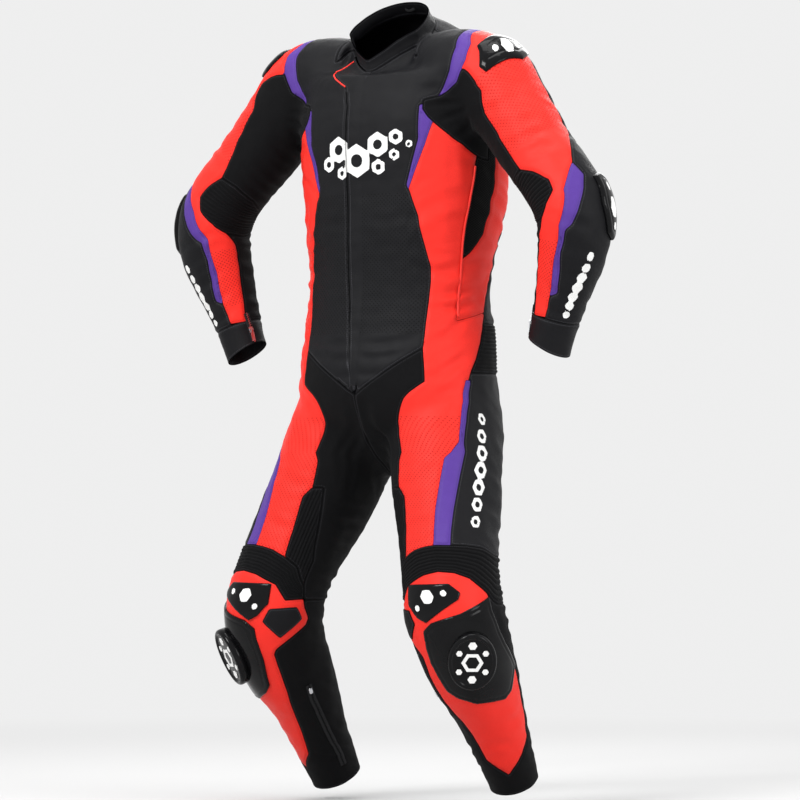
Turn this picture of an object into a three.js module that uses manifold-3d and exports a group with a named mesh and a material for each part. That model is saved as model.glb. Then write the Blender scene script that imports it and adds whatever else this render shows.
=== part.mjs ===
// One-piece motorcycle race suit, worn form, open at neck, cuffs and ankle hems.
// Millimetres, +Z up, +X to the wearer's left, front of the suit towards -Y.
// The origin is the middle of the neck at the height of the shoulder line.
import * as THREE from "three";
import Module from "manifold-3d";

const wasm = await Module();
wasm.setup();
const { Manifold, Mesh } = wasm;

const WALL = 2.4;           // leather and stretch cloth, with its backing
const GAP = 0.8;            // cut away at every seam; about 0.3 stays open
const LIFT = 0.35;          // between a panel and what lies on it
const COLLAR_ROW = 1;       // torso row where the collar band is sewn on
const SEAM_Y = 32;          // shoulder seam, measured back from the neck
const CUFF_SEAM = 607;      // along the sleeve
const KNEE_SEAM = -951;      // height of the seam behind the knee
const FLAP_LEFT = -24;      // edge of the front fly on the wearer's right
const FLAP_RIGHT = 5;       // and on the wearer's left
const TIDY = 0.25;         // facets flatter than this are joined
const TORSO_SIDES = 18;
const LEG_SIDES = 14;
const ARM_SIDES = 12;
const CUFF_SLANT = 9;       // the cuff is longer on the outside of the wrist

// Rows of the tables that the facets pass over; they shape the curve only.
const TORSO_SKIP = [8, 10, 12];
const LEG_SKIP = [9, 11];
const ARM_SKIP = [4, 8, 10];

const TORSO = {
  cols: ["z", "y", "tilt", "wide", "front", "back", "square", "point"],
  rows: [
    [32, -6, 37, 72, 84, 80, 2.2, 1.55],
    [10, 10, 37, 77, 88, 86, 2.2, 1.55],
    [-2, 20, 33, 106, 98, 100, 2.2, 1.75],
    [-18, 28, 20, 156, 108, 112, 2.4, 2.4],
    [-66, 34, 10, 172, 122, 126, 2.5, 2.5],
    [-130, 38, 4, 178, 134, 138, 2.5, 2.5],
    [-180, 44, 0, 179, 139, 142, 2.5, 2.5],
    [-266, 50, 0, 176, 140, 142, 2.5, 2.5],
    [-320, 44, 0, 171, 134, 134, 2.4, 2.4],
    [-400, 36, 0, 163, 122, 122, 2.3, 2.3],
    [-437, 32, 0, 163, 120, 120, 2.3, 2.3],
    [-489, 32, 0, 170, 126, 128, 2.3, 2.3],
    [-549, 28, 0, 175, 132, 136, 2.3, 2.3],
    [-609, 26, 0, 174, 130, 138, 2.3, 2.3],
    [-660, 30, 0, 160, 112, 128, 2.2, 2.2],
    [-705, 35, 0, 115, 75, 92, 2.0, 2.0],
    [-738, 38, 0, 40, 30, 40, 2.0, 2.0],
  ],
};

const LEG = {
  cols: ["x", "y", "z", "outer", "inner", "front", "back", "square"],
  rows: [
    [92, 34, -560, 74, 84, 106, 106, 2.2],
    [100, 26, -640, 82, 90, 108, 118, 2.2],
    [116, 4, -710, 86, 92, 102, 106, 2.2],
    [136, -24, -790, 85, 86, 92, 97, 2.2],
    [158, -52, -860, 80, 80, 84, 86, 2.2],
    [174, -70, -915, 79, 79, 83, 80, 2.2],
    [185, -74, -965, 80, 80, 86, 77, 2.3],
    [190, -56, -1020, 78, 76, 80, 74, 2.3],
    [190, -26, -1068, 72, 71, 74, 73, 2.2],
    [189, 22, -1130, 60, 60, 60, 64, 2.1],
    [188, 58, -1185, 51, 52, 52, 54, 2.0],
    [186, 94, -1238, 45, 46, 46, 46, 2.0],
    [185, 108, -1260, 43, 44, 44, 44, 2.0],
  ],
};

const ARM = {
  cols: ["x", "y", "z", "outer", "inner", "front", "back", "square"],
  rows: [
    [70, 22, -34, 48, 52, 62, 62, 2.0],
    [124, 26, -38, 62, 84, 78, 84, 2.2],
    [180, 26, -60, 73, 82, 76, 80, 2.3],
    [238, 18, -122, 67, 68, 68, 72, 2.2],
    [298, 6, -196, 63, 62, 62, 66, 2.2],
    [346, 0, -250, 61, 62, 62, 64, 2.2],
    [370, 0, -294, 64, 62, 64, 66, 2.2],
    [371, 3, -342, 61, 60, 59, 62, 2.2],
    [357, 9, -394, 53, 52, 51, 54, 2.2],
    [340, 14, -442, 45, 44, 44, 46, 2.1],
    [322, 18, -496, 38, 38, 38, 39, 2.1],
    [313, 20, -522, 37, 37, 37, 38, 2.1],
  ],
};

// The line that panel heights and angles are measured round, for one half of
// the body: the middle of the trunk above, the middle of the leg below.
const AXIS = {
  cols: ["z", "x", "y"],
  rows: [
    [60, 0, 20], [0, 0, 28], [-60, 0, 36], [-540, 0, 34], [-600, 14, 30],
    [-650, 52, 26], [-700, 104, 8], [-790, 136, -24], [-860, 158, -52],
    [-915, 174, -70], [-965, 185, -74], [-1020, 190, -56], [-1068, 190, -26],
    [-1130, 189, 22], [-1185, 188, 58], [-1260, 185, 108], [-1300, 184, 134],
  ],
};

// How far the panels are turned round the sleeve as it hangs, by distance
// along the sleeve; the two sleeves turn opposite ways.
const TURN = {
  cols: ["along", "turn"],
  rows: [
    [0, 0], [120, -5], [160, -18], [205, -18], [260, -15], [327, -8],
    [370, 0], [407, 12], [450, 17], [485, 15], [560, 9], [670, 10],
  ],
};

// Outlines seen from the front, x and z in millimetres.
const FRONT_CUTS = {
  armhole: [
    [168, 90], [176, 14], [190, -10], [188, -38], [171, -75], [172, -110],
    [178, -150], [184, -190], [202, -262], [226, -600], [620, -600], [620, 90],
  ],
  gusset: [
    [186, -64], [171, -75], [140, -97], [117, -104], [117, -120], [126, -134],
    [150, -160], [167, -180], [178, -202], [204, -226], [226, -190], [206, -90],
  ],
  stripe_shoulder: [
    [160, 60], [160, 14], [165, -15], [158, -55], [134, -106], [180, -86],
    [200, -38], [200, 60],
  ],
  stripe_chest: [
    [112, -112], [111, -170], [89, -248], [92, -256], [121, -180], [134, -138],
    [128, -112],
  ],
  flap: [
    [FLAP_RIGHT, 0], [-40, 0], [-53, -31], [-75, -47], [-32, -77],
    [FLAP_LEFT, -110], [FLAP_LEFT, -400], [-12, -520], [-4, -596],
    [FLAP_RIGHT - 1, -596], [FLAP_RIGHT, -400],
  ],
  front: [
    [-1, 60], [166, 60], [166, -100], [120, -135], [92, -252], [107, -300],
    [109, -318], [122, -388], [122, -406], [119, -483], [119, -524], [-1, -603],
  ],
};

// Outlines on the half body, height z and angle round the AXIS line.
const BODY_CUTS = {
  mesh_wedge: [
    [-150, 81], [-150, 99], [-234, 99], [-281, 96], [-328, 91], [-362, 80],
    [-374, 75], [-358, 74], [-314, 75], [-238, 79], [-196, 81],
  ],
  side_back: [
    [-150, 99], [-104, 121], [-215, 126], [-300, 120], [-353, 113],
    [-373, 109], [-461, 94], [-478, 69], [-421, 73], [-374, 75], [-362, 80],
    [-328, 91], [-281, 96], [-234, 99],
  ],
  grip: [
    [-759, -34], [-760, -21], [-775, -16], [-877, -27], [-895, -47],
    [-928, -64], [-885, -64], [-847, -55],
  ],
  knee_ribs: [
    [-928, -64], [-895, -47], [-877, -27], [-865, -10], [-859, 5],
    [-856, 18], [-856, 34], [-857, 52], [-862, 72], [-874, 100], [-880, 150],
    [-955, 150], [-955, 96], [-949, 86], [-937, 77], [-924, 64], [-912, 54],
    [-903, 37], [-901, 19], [-907, 0], [-925, -29], [-952, -44], [-950, -67],
  ],
  knee_shin: [
    [-950, -67], [-952, -44], [-925, -29], [-907, 0], [-901, 19], [-903, 37],
    [-912, 54], [-924, 64], [-939, 78], [-1000, 80], [-1057, 111],
    [-1147, 115], [-1180, 105], [-1234, 41], [-1247, 28], [-1222, -2],
    [-1188, -9], [-1159, -12], [-1111, -20], [-1071, -23], [-1045, -24],
    [-1036, -28], [-994, -72], [-982, -77],
  ],
  thigh_purple: [
    [-578, 73], [-614, 69], [-683, 53], [-710, 35], [-758, 27], [-794, 21],
    [-868, 15], [-868, 34], [-832, 36], [-793, 40], [-725, 51], [-686, 57],
    [-613, 74], [-579, 77],
  ],
  side_thigh: [
    [-90, 40], [-120, 30], [-254, 30], [-256, 37], [-300, 46], [-316, 46],
    [-388, 53], [-406, 53], [-483, 50], [-524, 48], [-544, 48], [-581, 47],
    [-610, 30], [-636, 18], [-668, 4], [-715, -15], [-759, -22], [-785, -17],
    [-832, -24], [-880, -34], [-900, -44], [-896, 25], [-794, 30], [-758, 34], [-710, 43],
    [-683, 55], [-614, 71.5], [-579, 75], [-563, 77], [-543, 81], [-461, 94],
    [-478, 69], [-421, 73], [-374, 75], [-358, 74], [-314, 75], [-238, 79],
    [-196, 81], [-90, 81],
  ],
  lumbar: [[-480, 70], [-480, 200], [-566, 200], [-566, 70]],
  seat: [
    [-560, 118], [-560, 200], [-640, 210], [-700, 232], [-760, 232],
    [-745, 200], [-700, 150], [-640, 124],
  ],
  thigh_outer: [
    [-560, 60], [-560, 140], [-700, 205], [-760, 222], [-860, 212],
    [-884, 212], [-884, 10], [-700, 30],
  ],
  pentagon: [
    [-966, -28], [-963, -60], [-983, -66], [-1016, -36], [-988, -19],
  ],
  badge: [
    [-923, -24], [-921, 30], [-936, 41], [-947, 38], [-986, -3], [-978, -14],
    [-958, -26],
  ],
  slider_base: [
    [-1000, -9], [-986, 3], [-970, 38], [-943, 77], [-1000, 86], [-1057, 108],
    [-1100, 79], [-1115, 60], [-1122, 22], [-1112, 5], [-1100, -4],
    [-1075, -8], [-1053, -11], [-1026, -11],
  ],
};

// Outlines on the sleeve, distance along it and angle round it, front zero
// and outside positive.
const ARM_CUTS = {
  elbow_ribs: [
    [322, -40], [328, -11], [349, 1], [376, 11], [394, 3], [407, -20],
    [432, -40], [442, -72], [436, -110], [400, -122], [345, -116], [326, -80],
  ],
  purple: [
    [368, 60], [391, 60], [420, 31], [445, 12], [452, 2], [485, -2], [557, 11],
    [566, -4], [510, -12], [446, -9], [401, 16],
  ],
  sleeve_red: [
    [40, -10], [102, -10], [110, 8], [130, 15], [155, 21], [173, 22],
    [205, 5], [257, 1], [328, -11], [349, 1], [376, 11], [394, 3], [407, -20],
    [432, -40], [466, -58], [515, -59], [562, -56], [598, -46], [608, -46],
    [604, -5], [566, -4], [510, -12], [446, -9], [401, 16], [368, 60],
    [359, 68], [308, 118], [271, 128], [120, 128], [40, 128],
  ],
  arm_inner: [
    [40, -10], [102, -10], [110, 8], [130, 15], [155, 21], [173, 22],
    [205, 5], [257, 1], [328, -11], [400, -30], [432, -40], [466, -58],
    [515, -59], [562, -56], [598, -46], [608, -46], [612, -100], [612, -155],
    [400, -155], [200, -155], [40, -155],
  ],
  shoulder_cup: [
    [113, 44], [108, 80], [115, 116], [138, 124], [152, 100], [150, 80],
    [154, 40], [140, 33],
  ],
  elbow_slider: [
    [396, 74], [390, 96], [398, 116], [428, 126], [460, 118], [468, 98],
    [456, 78], [424, 68],
  ],
};

// The knee puck: its rings stand this far out from the cloth, at this size.
const PUCK = {
  middle: [-1047, 36], lean: -0.45, half_height: 52, half_width: 41, sides: 24,
  cols: ["out", "size"],
  rows: [[9, 1], [13, 0.97], [15.5, 0.86], [16.5, 0.55]],
};

// The cuff zip's slider and its pull tab: across the zip, along it towards
// the hand, and out from the cloth.
const SLIDER = {
  along: 629, facet: 4,
  base: [-3.6, 3.6, -5, 5, LIFT, 2.2],
  lug: [1.75, 3.1, -1.6, 1.6, 1.8, 5.5],
  pin_height: 4.2, pin_radius: 1.0, pin_half: 1.4, sag: 8, tab_start: 5.6,
  tab_half: 3.1, tab_end: 21, tab_thick: 1.4,
};

// The loop of tape inside the back of the collar.
const HANGER = { half: 11, top: 5, drop: 11, tape: 5.5, thick: 1.1, slack: 2.5 };

const COLOUR = {
  black: "#17171b", stretch: "#101013", red: "#f23a34", purple: "#5d41a0",
  plastic: "#0c0c10", mesh: "#0d0d0f", metal: "#b9bcc2",
};

function column(table, name) {
  const i = table.cols.indexOf(name);
  return table.rows.map((row) => row[i]);
}

function lerpTable(xs, ys, x) {
  const up = xs[1] > xs[0] ? 1 : -1;
  if (up * x <= up * xs[0]) return ys[0];
  for (let i = 1; i < xs.length; i++) {
    if (up * x <= up * xs[i]) {
      const t = (x - xs[i - 1]) / (xs[i] - xs[i - 1]);
      return ys[i - 1] + t * (ys[i] - ys[i - 1]);
    }
  }
  return ys[ys.length - 1];
}

// A smooth curve through the rows, each row's slope taken from its neighbours.
function curve(knots, values, at) {
  const n = knots.length;
  const slope = [];
  for (let i = 0; i < n; i++) {
    const a = Math.max(i - 1, 0);
    const b = Math.min(i + 1, n - 1);
    if (a === i || b === i) {
      slope.push((values[b] - values[a]) / (knots[b] - knots[a]));
    } else {
      const h0 = knots[i] - knots[a];
      const h1 = knots[b] - knots[i];
      const d0 = (values[i] - values[a]) / h0;
      const d1 = (values[b] - values[i]) / h1;
      slope.push((d0 * h1 + d1 * h0) / (h0 + h1));
    }
  }
  const x = Math.min(Math.max(at, knots[0]), knots[n - 1]);
  let i = 0;
  while (i < n - 2 && x >= knots[i + 1]) i++;
  const h = knots[i + 1] - knots[i];
  const t = (x - knots[i]) / h;
  const t2 = t * t;
  const t3 = t2 * t;
  return (2 * t3 - 3 * t2 + 1) * values[i] + (t3 - 2 * t2 + t) * h * slope[i]
    + (-2 * t3 + 3 * t2) * values[i + 1] + (t3 - t2) * h * slope[i + 1];
}

const v3 = (x, y, z) => new THREE.Vector3(x, y, z);
const rad = (degrees) => degrees * Math.PI / 180;

// A tube through a table of sections.  Distance along it and angle round it
// place every point, panel outlines included.
function makeTube(table, isTorso, skip) {
  const zs = column(table, "z");
  const ys = column(table, "y");
  const xs = isTorso ? zs.map(() => 0) : column(table, "x");
  const along = [0];
  for (let i = 1; i < zs.length; i++) {
    const step = Math.hypot(xs[i] - xs[i - 1], ys[i] - ys[i - 1], zs[i] - zs[i - 1]);
    along.push(along[i - 1] + step);
  }
  const get = (name, s) => curve(along, column(table, name), s);
  const centre = (s) => v3(curve(along, xs, s), curve(along, ys, s), curve(along, zs, s));
  function frame(s) {
    if (isTorso) {
      const t = rad(get("tilt", s));
      return {
        front: v3(0, -Math.cos(t), -Math.sin(t)),
        out: v3(1, 0, 0),
        down: v3(0, Math.sin(t), -Math.cos(t)),
      };
    }
    const down = centre(s + 1).sub(centre(s - 1)).normalize();
    const front = v3(0, -1, 0).addScaledVector(down, down.y).normalize();
    const out = new THREE.Vector3().crossVectors(front, down);
    if (out.x < 0) out.negate();
    return { front, out, down };
  }
  function radius(s, angle) {
    const c = Math.cos(angle);
    const q = Math.sin(angle);
    // The front of the neck comes to a soft point, so its section is sharper there.
    const n = isTorso && c > 0
      ? get("square", s) + (get("point", s) - get("square", s)) * Math.min(1, c / 0.35)
      : get("square", s);
    const a = c >= 0 ? get("front", s) : get("back", s);
    const side = isTorso ? get("wide", s) : (q >= 0 ? get("outer", s) : get("inner", s));
    return Math.pow(Math.pow(Math.abs(c / a), n) + Math.pow(Math.abs(q / side), n), -1 / n);
  }
  function at(s, angle, r) {
    const f = frame(s);
    return centre(s).addScaledVector(f.front, r * Math.cos(angle))
      .addScaledVector(f.out, r * Math.sin(angle));
  }
  const facets = along.filter((s, i) => !skip.includes(i));
  return { along, facets, length: along[along.length - 1], centre, frame, radius, at };
}

const torsoTube = makeTube(TORSO, true, TORSO_SKIP);
const legTube = makeTube(LEG, false, LEG_SKIP);
const armTube = makeTube(ARM, false, ARM_SKIP);

function solidFrom(points, triangles) {
  const geometry = { numProp: 3, vertProperties: new Float32Array(points.flat()),
    triVerts: new Uint32Array(triangles.flat()) };
  const mesh = new Mesh(geometry);
  mesh.merge();
  let solid = new Manifold(mesh);
  if (solid.volume() < 0) {
    const turned = triangles.map(([a, b, c]) => [a, c, b]);
    solid = new Manifold(new Mesh({ numProp: 3, vertProperties: geometry.vertProperties,
      triVerts: new Uint32Array(turned.flat()) }));
  }
  return solid;
}

// Rings joined into a closed solid, with a point in the middle of each end.
function loft(rings) {
  const n = rings[0].length;
  const points = rings.flat().map((p) => [p.x, p.y, p.z]);
  const triangles = [];
  for (let i = 0; i < rings.length - 1; i++) {
    for (let j = 0; j < n; j++) {
      const k = (j + 1) % n;
      const a = i * n + j;
      const b = i * n + k;
      triangles.push([a, b, b + n], [a, b + n, a + n]);
    }
  }
  for (const [row, turn] of [[0, false], [rings.length - 1, true]]) {
    const middle = v3(0, 0, 0);
    rings[row].forEach((p) => middle.addScaledVector(p, 1 / n));
    points.push([middle.x, middle.y, middle.z]);
    const m = points.length - 1;
    for (let j = 0; j < n; j++) {
      const a = row * n + j;
      const b = row * n + (j + 1) % n;
      triangles.push(turn ? [a, b, m] : [b, a, m]);
    }
  }
  return solidFrom(points, triangles);
}

// The tube's surface moved along its own normals: out when grow is positive.
// Ends named open run on past the opening so that the hollow breaks through.
function tubeSolid(tube, sides, grow, openStart, openEnd, slant = 0) {
  const rows = tube.facets;
  const grid = rows.map((s, i) => {
    const ring = [];
    const down = tube.frame(s).down;
    for (let j = 0; j < sides; j++) {
      const angle = -Math.PI + 2 * Math.PI * (j + 0.5) / sides;
      const p = tube.at(s, angle, tube.radius(s, angle));
      if (i === rows.length - 1) p.addScaledVector(down, slant * Math.sin(angle));
      ring.push(p);
    }
    return ring;
  });
  const rings = grid.map((ring, i) => ring.map((p, j) => {
    const left = ring[(j + sides - 1) % sides];
    const right = ring[(j + 1) % sides];
    const before = grid[Math.max(i - 1, 0)][j];
    const after = grid[Math.min(i + 1, grid.length - 1)][j];
    const normal = new THREE.Vector3().crossVectors(right.clone().sub(left), after.clone().sub(before));
    normal.normalize();
    const middle = tube.centre(rows[i]);
    if (normal.dot(p.clone().sub(middle)) < 0) normal.negate();
    return p.clone().addScaledVector(normal, grow);
  }));
  if (openStart) {
    const down = tube.frame(0).down;
    rings[0] = rings[0].map((p) => p.addScaledVector(down, -6));
  }
  if (openEnd) {
    const down = tube.frame(tube.length - 2).down;
    const last = rings.length - 1;
    rings[last] = rings[last].map((p) => p.addScaledVector(down, 6));
  }
  if (!openEnd && !openStart && grow < 0) {
    const last = rings.length - 1;
    const down = tube.frame(tube.length - 2).down;
    rings[last] = rings[last].map((p) => p.addScaledVector(down, grow));
  }
  return loft(rings);
}

// The middle of one long facet of a tube between two of its rows: a point a
// given way along, the way across, the way down and the way out.
function facetFrame(tube, sides, facet, row, s, slant = 0) {
  const rows = tube.facets;
  const corner = (i, j) => {
    const angle = -Math.PI + 2 * Math.PI * (j + 0.5) / sides;
    const p = tube.at(rows[i], angle, tube.radius(rows[i], angle));
    if (i === rows.length - 1) {
      p.addScaledVector(tube.frame(rows[i]).down, slant * Math.sin(angle));
    }
    return p;
  };
  const [a, b] = [corner(row, facet - 1), corner(row, facet)];
  const [c, d] = [corner(row + 1, facet - 1), corner(row + 1, facet)];
  const top = a.clone().add(b).multiplyScalar(0.5);
  const low = c.clone().add(d).multiplyScalar(0.5);
  const down = low.clone().sub(top).normalize();
  const across = b.clone().sub(a).normalize();
  const out = new THREE.Vector3().crossVectors(across, down).normalize();
  const t = (s - rows[row]) / (rows[row + 1] - rows[row]);
  const middle = top.clone().lerp(low, t);
  if (out.dot(middle.clone().sub(tube.centre(s))) < 0) out.negate();
  across.crossVectors(down, out);
  return { middle, across, down, out };
}

function placed(f, a, b, c) {
  return f.middle.clone().addScaledVector(f.across, a)
    .addScaledVector(f.down, b).addScaledVector(f.out, c);
}

function localBlock(f, [a0, a1, b0, b1, c0, c1]) {
  return loft([c0, c1].map((c) => [[a0, b0], [a1, b0], [a1, b1], [a0, b1]]
    .map(([a, b]) => placed(f, a, b, c))));
}

function mirror(solid) {
  return solid.mirror([1, 0, 0]);
}

function hull(grow, open) {
  const torso = tubeSolid(torsoTube, TORSO_SIDES, grow, open, false);
  const leg = tubeSolid(legTube, LEG_SIDES, grow, false, open);
  const arm = tubeSolid(armTube, ARM_SIDES, grow, false, open, CUFF_SLANT);
  return Manifold.union([torso, leg, mirror(leg), arm, mirror(arm)]);
}

// Long sides of an outline are halved first, so that an outline and the same
// outline moved out bend alike.
function halveSides(outline, tooLong) {
  let points = outline;
  for (let pass = 0; pass < 4; pass++) {
    const next = [];
    points.forEach((p, i) => {
      const q = points[(i + 1) % points.length];
      next.push(p);
      if (tooLong(p, q, 1)) next.push([(p[0] + q[0]) / 2, (p[1] + q[1]) / 2]);
    });
    points = next;
  }
  return points;
}

// An outline moved out by a distance, corners kept sharp.  The second number
// of a point may be an angle; scale gives its size in millimetres there.
function growOutline(points, distance, scale = () => 1) {
  let area = 0;
  points.forEach((p, i) => {
    const q = points[(i + 1) % points.length];
    area += p[0] * q[1] - q[0] * p[1];
  });
  const sign = area > 0 ? 1 : -1;
  const n = points.length;
  return points.map((p, i) => {
    const k = scale(p[0]);
    const a = points[(i + n - 1) % n];
    const b = points[(i + 1) % n];
    const d1 = Math.hypot(p[0] - a[0], (p[1] - a[1]) * k);
    const d2 = Math.hypot(b[0] - p[0], (b[1] - p[1]) * k);
    const n1 = [(p[1] - a[1]) * k / d1, -(p[0] - a[0]) / d1];
    const n2 = [(b[1] - p[1]) * k / d2, -(b[0] - p[0]) / d2];
    const m = [n1[0] + n2[0], n1[1] + n2[1]];
    const far = Math.min(2 / (m[0] * m[0] + m[1] * m[1]), 2.5) * distance * sign;
    return [p[0] + m[0] * far, p[1] + m[1] * far / k];
  });
}

// Long edges are halved until none is longer than it may be; neighbours share
// the new points, so the surface stays closed.
function halveLong(points, triangles, tooLong) {
  let work = triangles;
  for (let pass = 0; pass < 8; pass++) {
    const middle = new Map();
    const split = (a, b) => {
      if (!tooLong(points[a], points[b])) return -1;
      const key = a < b ? a + "_" + b : b + "_" + a;
      if (!middle.has(key)) {
        points.push(points[a].map((value, i) => (value + points[b][i]) / 2));
        middle.set(key, points.length - 1);
      }
      return middle.get(key);
    };
    const next = [];
    for (const [a, b, c] of work) {
      const x = split(a, b);
      const y = split(b, c);
      const z = split(c, a);
      const cut = (x >= 0) + (y >= 0) + (z >= 0);
      if (cut === 0) {
        next.push([a, b, c]);
      } else if (cut === 3) {
        next.push([a, x, z], [x, b, y], [z, y, c], [x, y, z]);
      } else if (cut === 1) {
        if (x >= 0) next.push([a, x, c], [x, b, c]);
        else if (y >= 0) next.push([a, b, y], [a, y, c]);
        else next.push([a, b, z], [z, b, c]);
      } else if (x < 0) {
        next.push([z, y, c], [a, b, y], [a, y, z]);
      } else if (y < 0) {
        next.push([a, x, z], [x, b, c], [x, c, z]);
      } else {
        next.push([x, b, y], [a, x, y], [a, y, c]);
      }
    }
    work = next;
    if (middle.size === 0) break;
  }
  return work;
}

// A prism over a flat outline, bent onto the body or sleeve by the map given.
// Its walls have a line at the cloth's own surface, so that a cut is straight.
function bentPrism(outline, place, tooLong) {
  const flat = outline.map((p) => new THREE.Vector2(p[0], p[1]));
  const faces = THREE.ShapeUtils.triangulateShape(flat, []);
  const n = outline.length;
  const points = [];
  for (const w of [0, 1, 2]) outline.forEach((p) => points.push([p[0], p[1], w]));
  let triangles = [];
  faces.forEach(([a, b, c]) => triangles.push([a, b, c], [a + 2 * n, c + 2 * n, b + 2 * n]));
  for (const up of [0, n]) {
    for (let i = 0; i < n; i++) {
      const j = (i + 1) % n;
      triangles.push([i + up, i + n + up, j + up], [j + up, i + n + up, j + n + up]);
    }
  }
  let area = 0;
  outline.forEach((p, i) => {
    const q = outline[(i + 1) % n];
    area += p[0] * q[1] - q[0] * p[1];
  });
  const first = faces[0].map((i) => outline[i]);
  const turn = (first[1][0] - first[0][0]) * (first[2][1] - first[0][1])
    - (first[2][0] - first[0][0]) * (first[1][1] - first[0][1]);
  if (turn * area < 0) {
    triangles = triangles.map((t, i) => (i < 2 * faces.length ? [t[0], t[2], t[1]] : t));
  }
  triangles = halveLong(points, triangles, tooLong);
  return solidFrom(points.map(([u, v, w]) => place(u, v, w)), triangles);
}

const AXIS_Z = column(AXIS, "z");
const AXIS_X = column(AXIS, "x");
const AXIS_Y = column(AXIS, "y");

// How far the cloth is from the axis line, about, at a height and angle.
const TORSO_Z = column(TORSO, "z");
const LEG_Z = column(LEG, "z");

function sectionRadius(table, zs, z, angle, stretch) {
  const get = (name) => lerpTable(zs, column(table, name), z);
  const c = Math.cos(angle);
  const q = Math.sin(angle);
  const a = (c >= 0 ? get("front") : get("back")) * stretch;
  const wide = table.cols.includes("wide");
  const side = wide ? get("wide") : (q >= 0 ? get("outer") : get("inner"));
  return Math.pow(Math.pow(Math.abs(c / a), 2.2) + Math.pow(Math.abs(q / side), 2.2), -1 / 2.2);
}

function bodyRadius(z, angle) {
  const lean = z < -1000 ? 1.18 : 1.05;
  const trunk = sectionRadius(TORSO, TORSO_Z, z, angle, 1);
  const leg = sectionRadius(LEG, LEG_Z, z, angle, lean);
  const t = Math.min(Math.max((-z - 600) / 80, 0), 1);
  return trunk + (leg - trunk) * t;
}

const between = (near, middle, far, w) =>
  (w < 1 ? near + (middle - near) * w : middle + (far - middle) * (w - 1));

function placeBody(z, degrees, w) {
  const angle = rad(degrees);
  const middle = bodyRadius(z, angle);
  const r = between(5, middle, middle + 60, w);
  const x = lerpTable(AXIS_Z, AXIS_X, z) + r * Math.sin(angle);
  const y = lerpTable(AXIS_Z, AXIS_Y, z) - r * Math.cos(angle);
  return [x, y, z];
}

const bodyScale = (z) => rad(1) * bodyRadius(z, 0.8);

function bodyCut(name, grow = 0) {
  const tooLong = (a, b, slack) =>
    Math.abs(a[1] - b[1]) > 40 * slack || Math.abs(a[0] - b[0]) > 96 * slack;
  const plain = halveSides(BODY_CUTS[name], tooLong);
  const outline = grow ? growOutline(plain, grow, bodyScale) : plain;
  return bentPrism(outline, placeBody, (a, b) => tooLong(a, b, 1.3));
}

const TURN_S = column(TURN, "along");
const TURN_D = column(TURN, "turn");

const armScale = (s) => rad(1) * armTube.radius(s, 0);

function armCut(name, side, grow = 0) {
  const tooLong = (a, b, slack) =>
    Math.abs(a[1] - b[1]) > 40 * slack || Math.abs(a[0] - b[0]) > 70 * slack;
  const plain = halveSides(ARM_CUTS[name], tooLong);
  const outline = grow ? growOutline(plain, grow, armScale) : plain;
  const place = (s, degrees, w) => {
    const angle = rad(degrees + side * lerpTable(TURN_S, TURN_D, s));
    const middle = armTube.radius(s, angle);
    const r = between(5, middle, middle + 30, w);
    const p = armTube.at(s, angle, r);
    return [p.x, p.y, p.z];
  };
  return bentPrism(outline, place, (a, b) => tooLong(a, b, 1.3));
}

function frontCut(name, yFrom, yTo, grow = 0) {
  const outline = grow ? growOutline(FRONT_CUTS[name], grow) : FRONT_CUTS[name];
  const place = (x, z, w) => [x, yFrom + (yTo - yFrom) * w / 2, z];
  return bentPrism(outline, place, () => false);
}

function block(x0, x1, y0, y1, z0, z1) {
  const points = [];
  for (const z of [z0, z1]) points.push([x0, y0, z], [x1, y0, z], [x1, y1, z], [x0, y1, z]);
  const sides = [[0, 1, 5, 4], [1, 2, 6, 5], [2, 3, 7, 6], [3, 0, 4, 7], [3, 2, 1, 0], [4, 5, 6, 7]];
  const triangles = [];
  sides.forEach(([a, b, c, d]) => triangles.push([a, b, c], [a, c, d]));
  return solidFrom(points, triangles);
}

// The pieces, from the collar down.
const pieces = {};
const outer = hull(0, false);
const inner = hull(-WALL, true);
const shell = outer.subtract(inner);

// collar band: everything above the sewn line of the neck
const collarFrame = torsoTube.frame(torsoTube.along[COLLAR_ROW]);
const collarMid = torsoTube.centre(torsoTube.along[COLLAR_ROW]);
function aboveNeck(shift) {
  const deep = 90;
  const rings = [];
  for (const d of [-shift - 1.5, -deep]) {
    const ring = [];
    for (const [a, b] of [[-1, -1], [1, -1], [1, 1], [-1, 1]]) {
      ring.push(collarMid.clone().addScaledVector(collarFrame.down, d)
        .addScaledVector(collarFrame.out, a * 100).addScaledVector(collarFrame.front, b * 120));
    }
    rings.push(ring);
  }
  return loft(rings);
}
const trunkOnly = tubeSolid(torsoTube, TORSO_SIDES, 0, false, false)
  .subtract(tubeSolid(torsoTube, TORSO_SIDES, -WALL, true, false));
pieces.collar = trunkOnly.intersect(aboveNeck(0));
const neckRoom = tubeSolid(torsoTube, TORSO_SIDES, GAP, true, false);
let rest = shell.subtract(neckRoom.intersect(aboveNeck(-GAP)));

// one half at a time
const leftHalf = block(0, 700, -400, 400, -1400, 200);
const openLeft = block(GAP / 2, 700, -400, 400, -1400, 200);
const armSide = frontCut("armhole", -400, 400);
const armSideGrown = frontCut("armhole", -400, 400, GAP);
const gussetFront = frontCut("gusset", -400, 40);

// the part of the sleeve beyond a distance along it
function acrossSleeve(from) {
  const rings = [];
  for (const s of [from, from + 80]) {
    const f = armTube.frame(from);
    const middle = armTube.centre(from).addScaledVector(f.down, s - from);
    rings.push([[-1, -1], [1, -1], [1, 1], [-1, 1]].map(([a, b]) =>
      middle.clone().addScaledVector(f.out, a * 70).addScaledVector(f.front, b * 70)));
  }
  return loft(rings);
}

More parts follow.
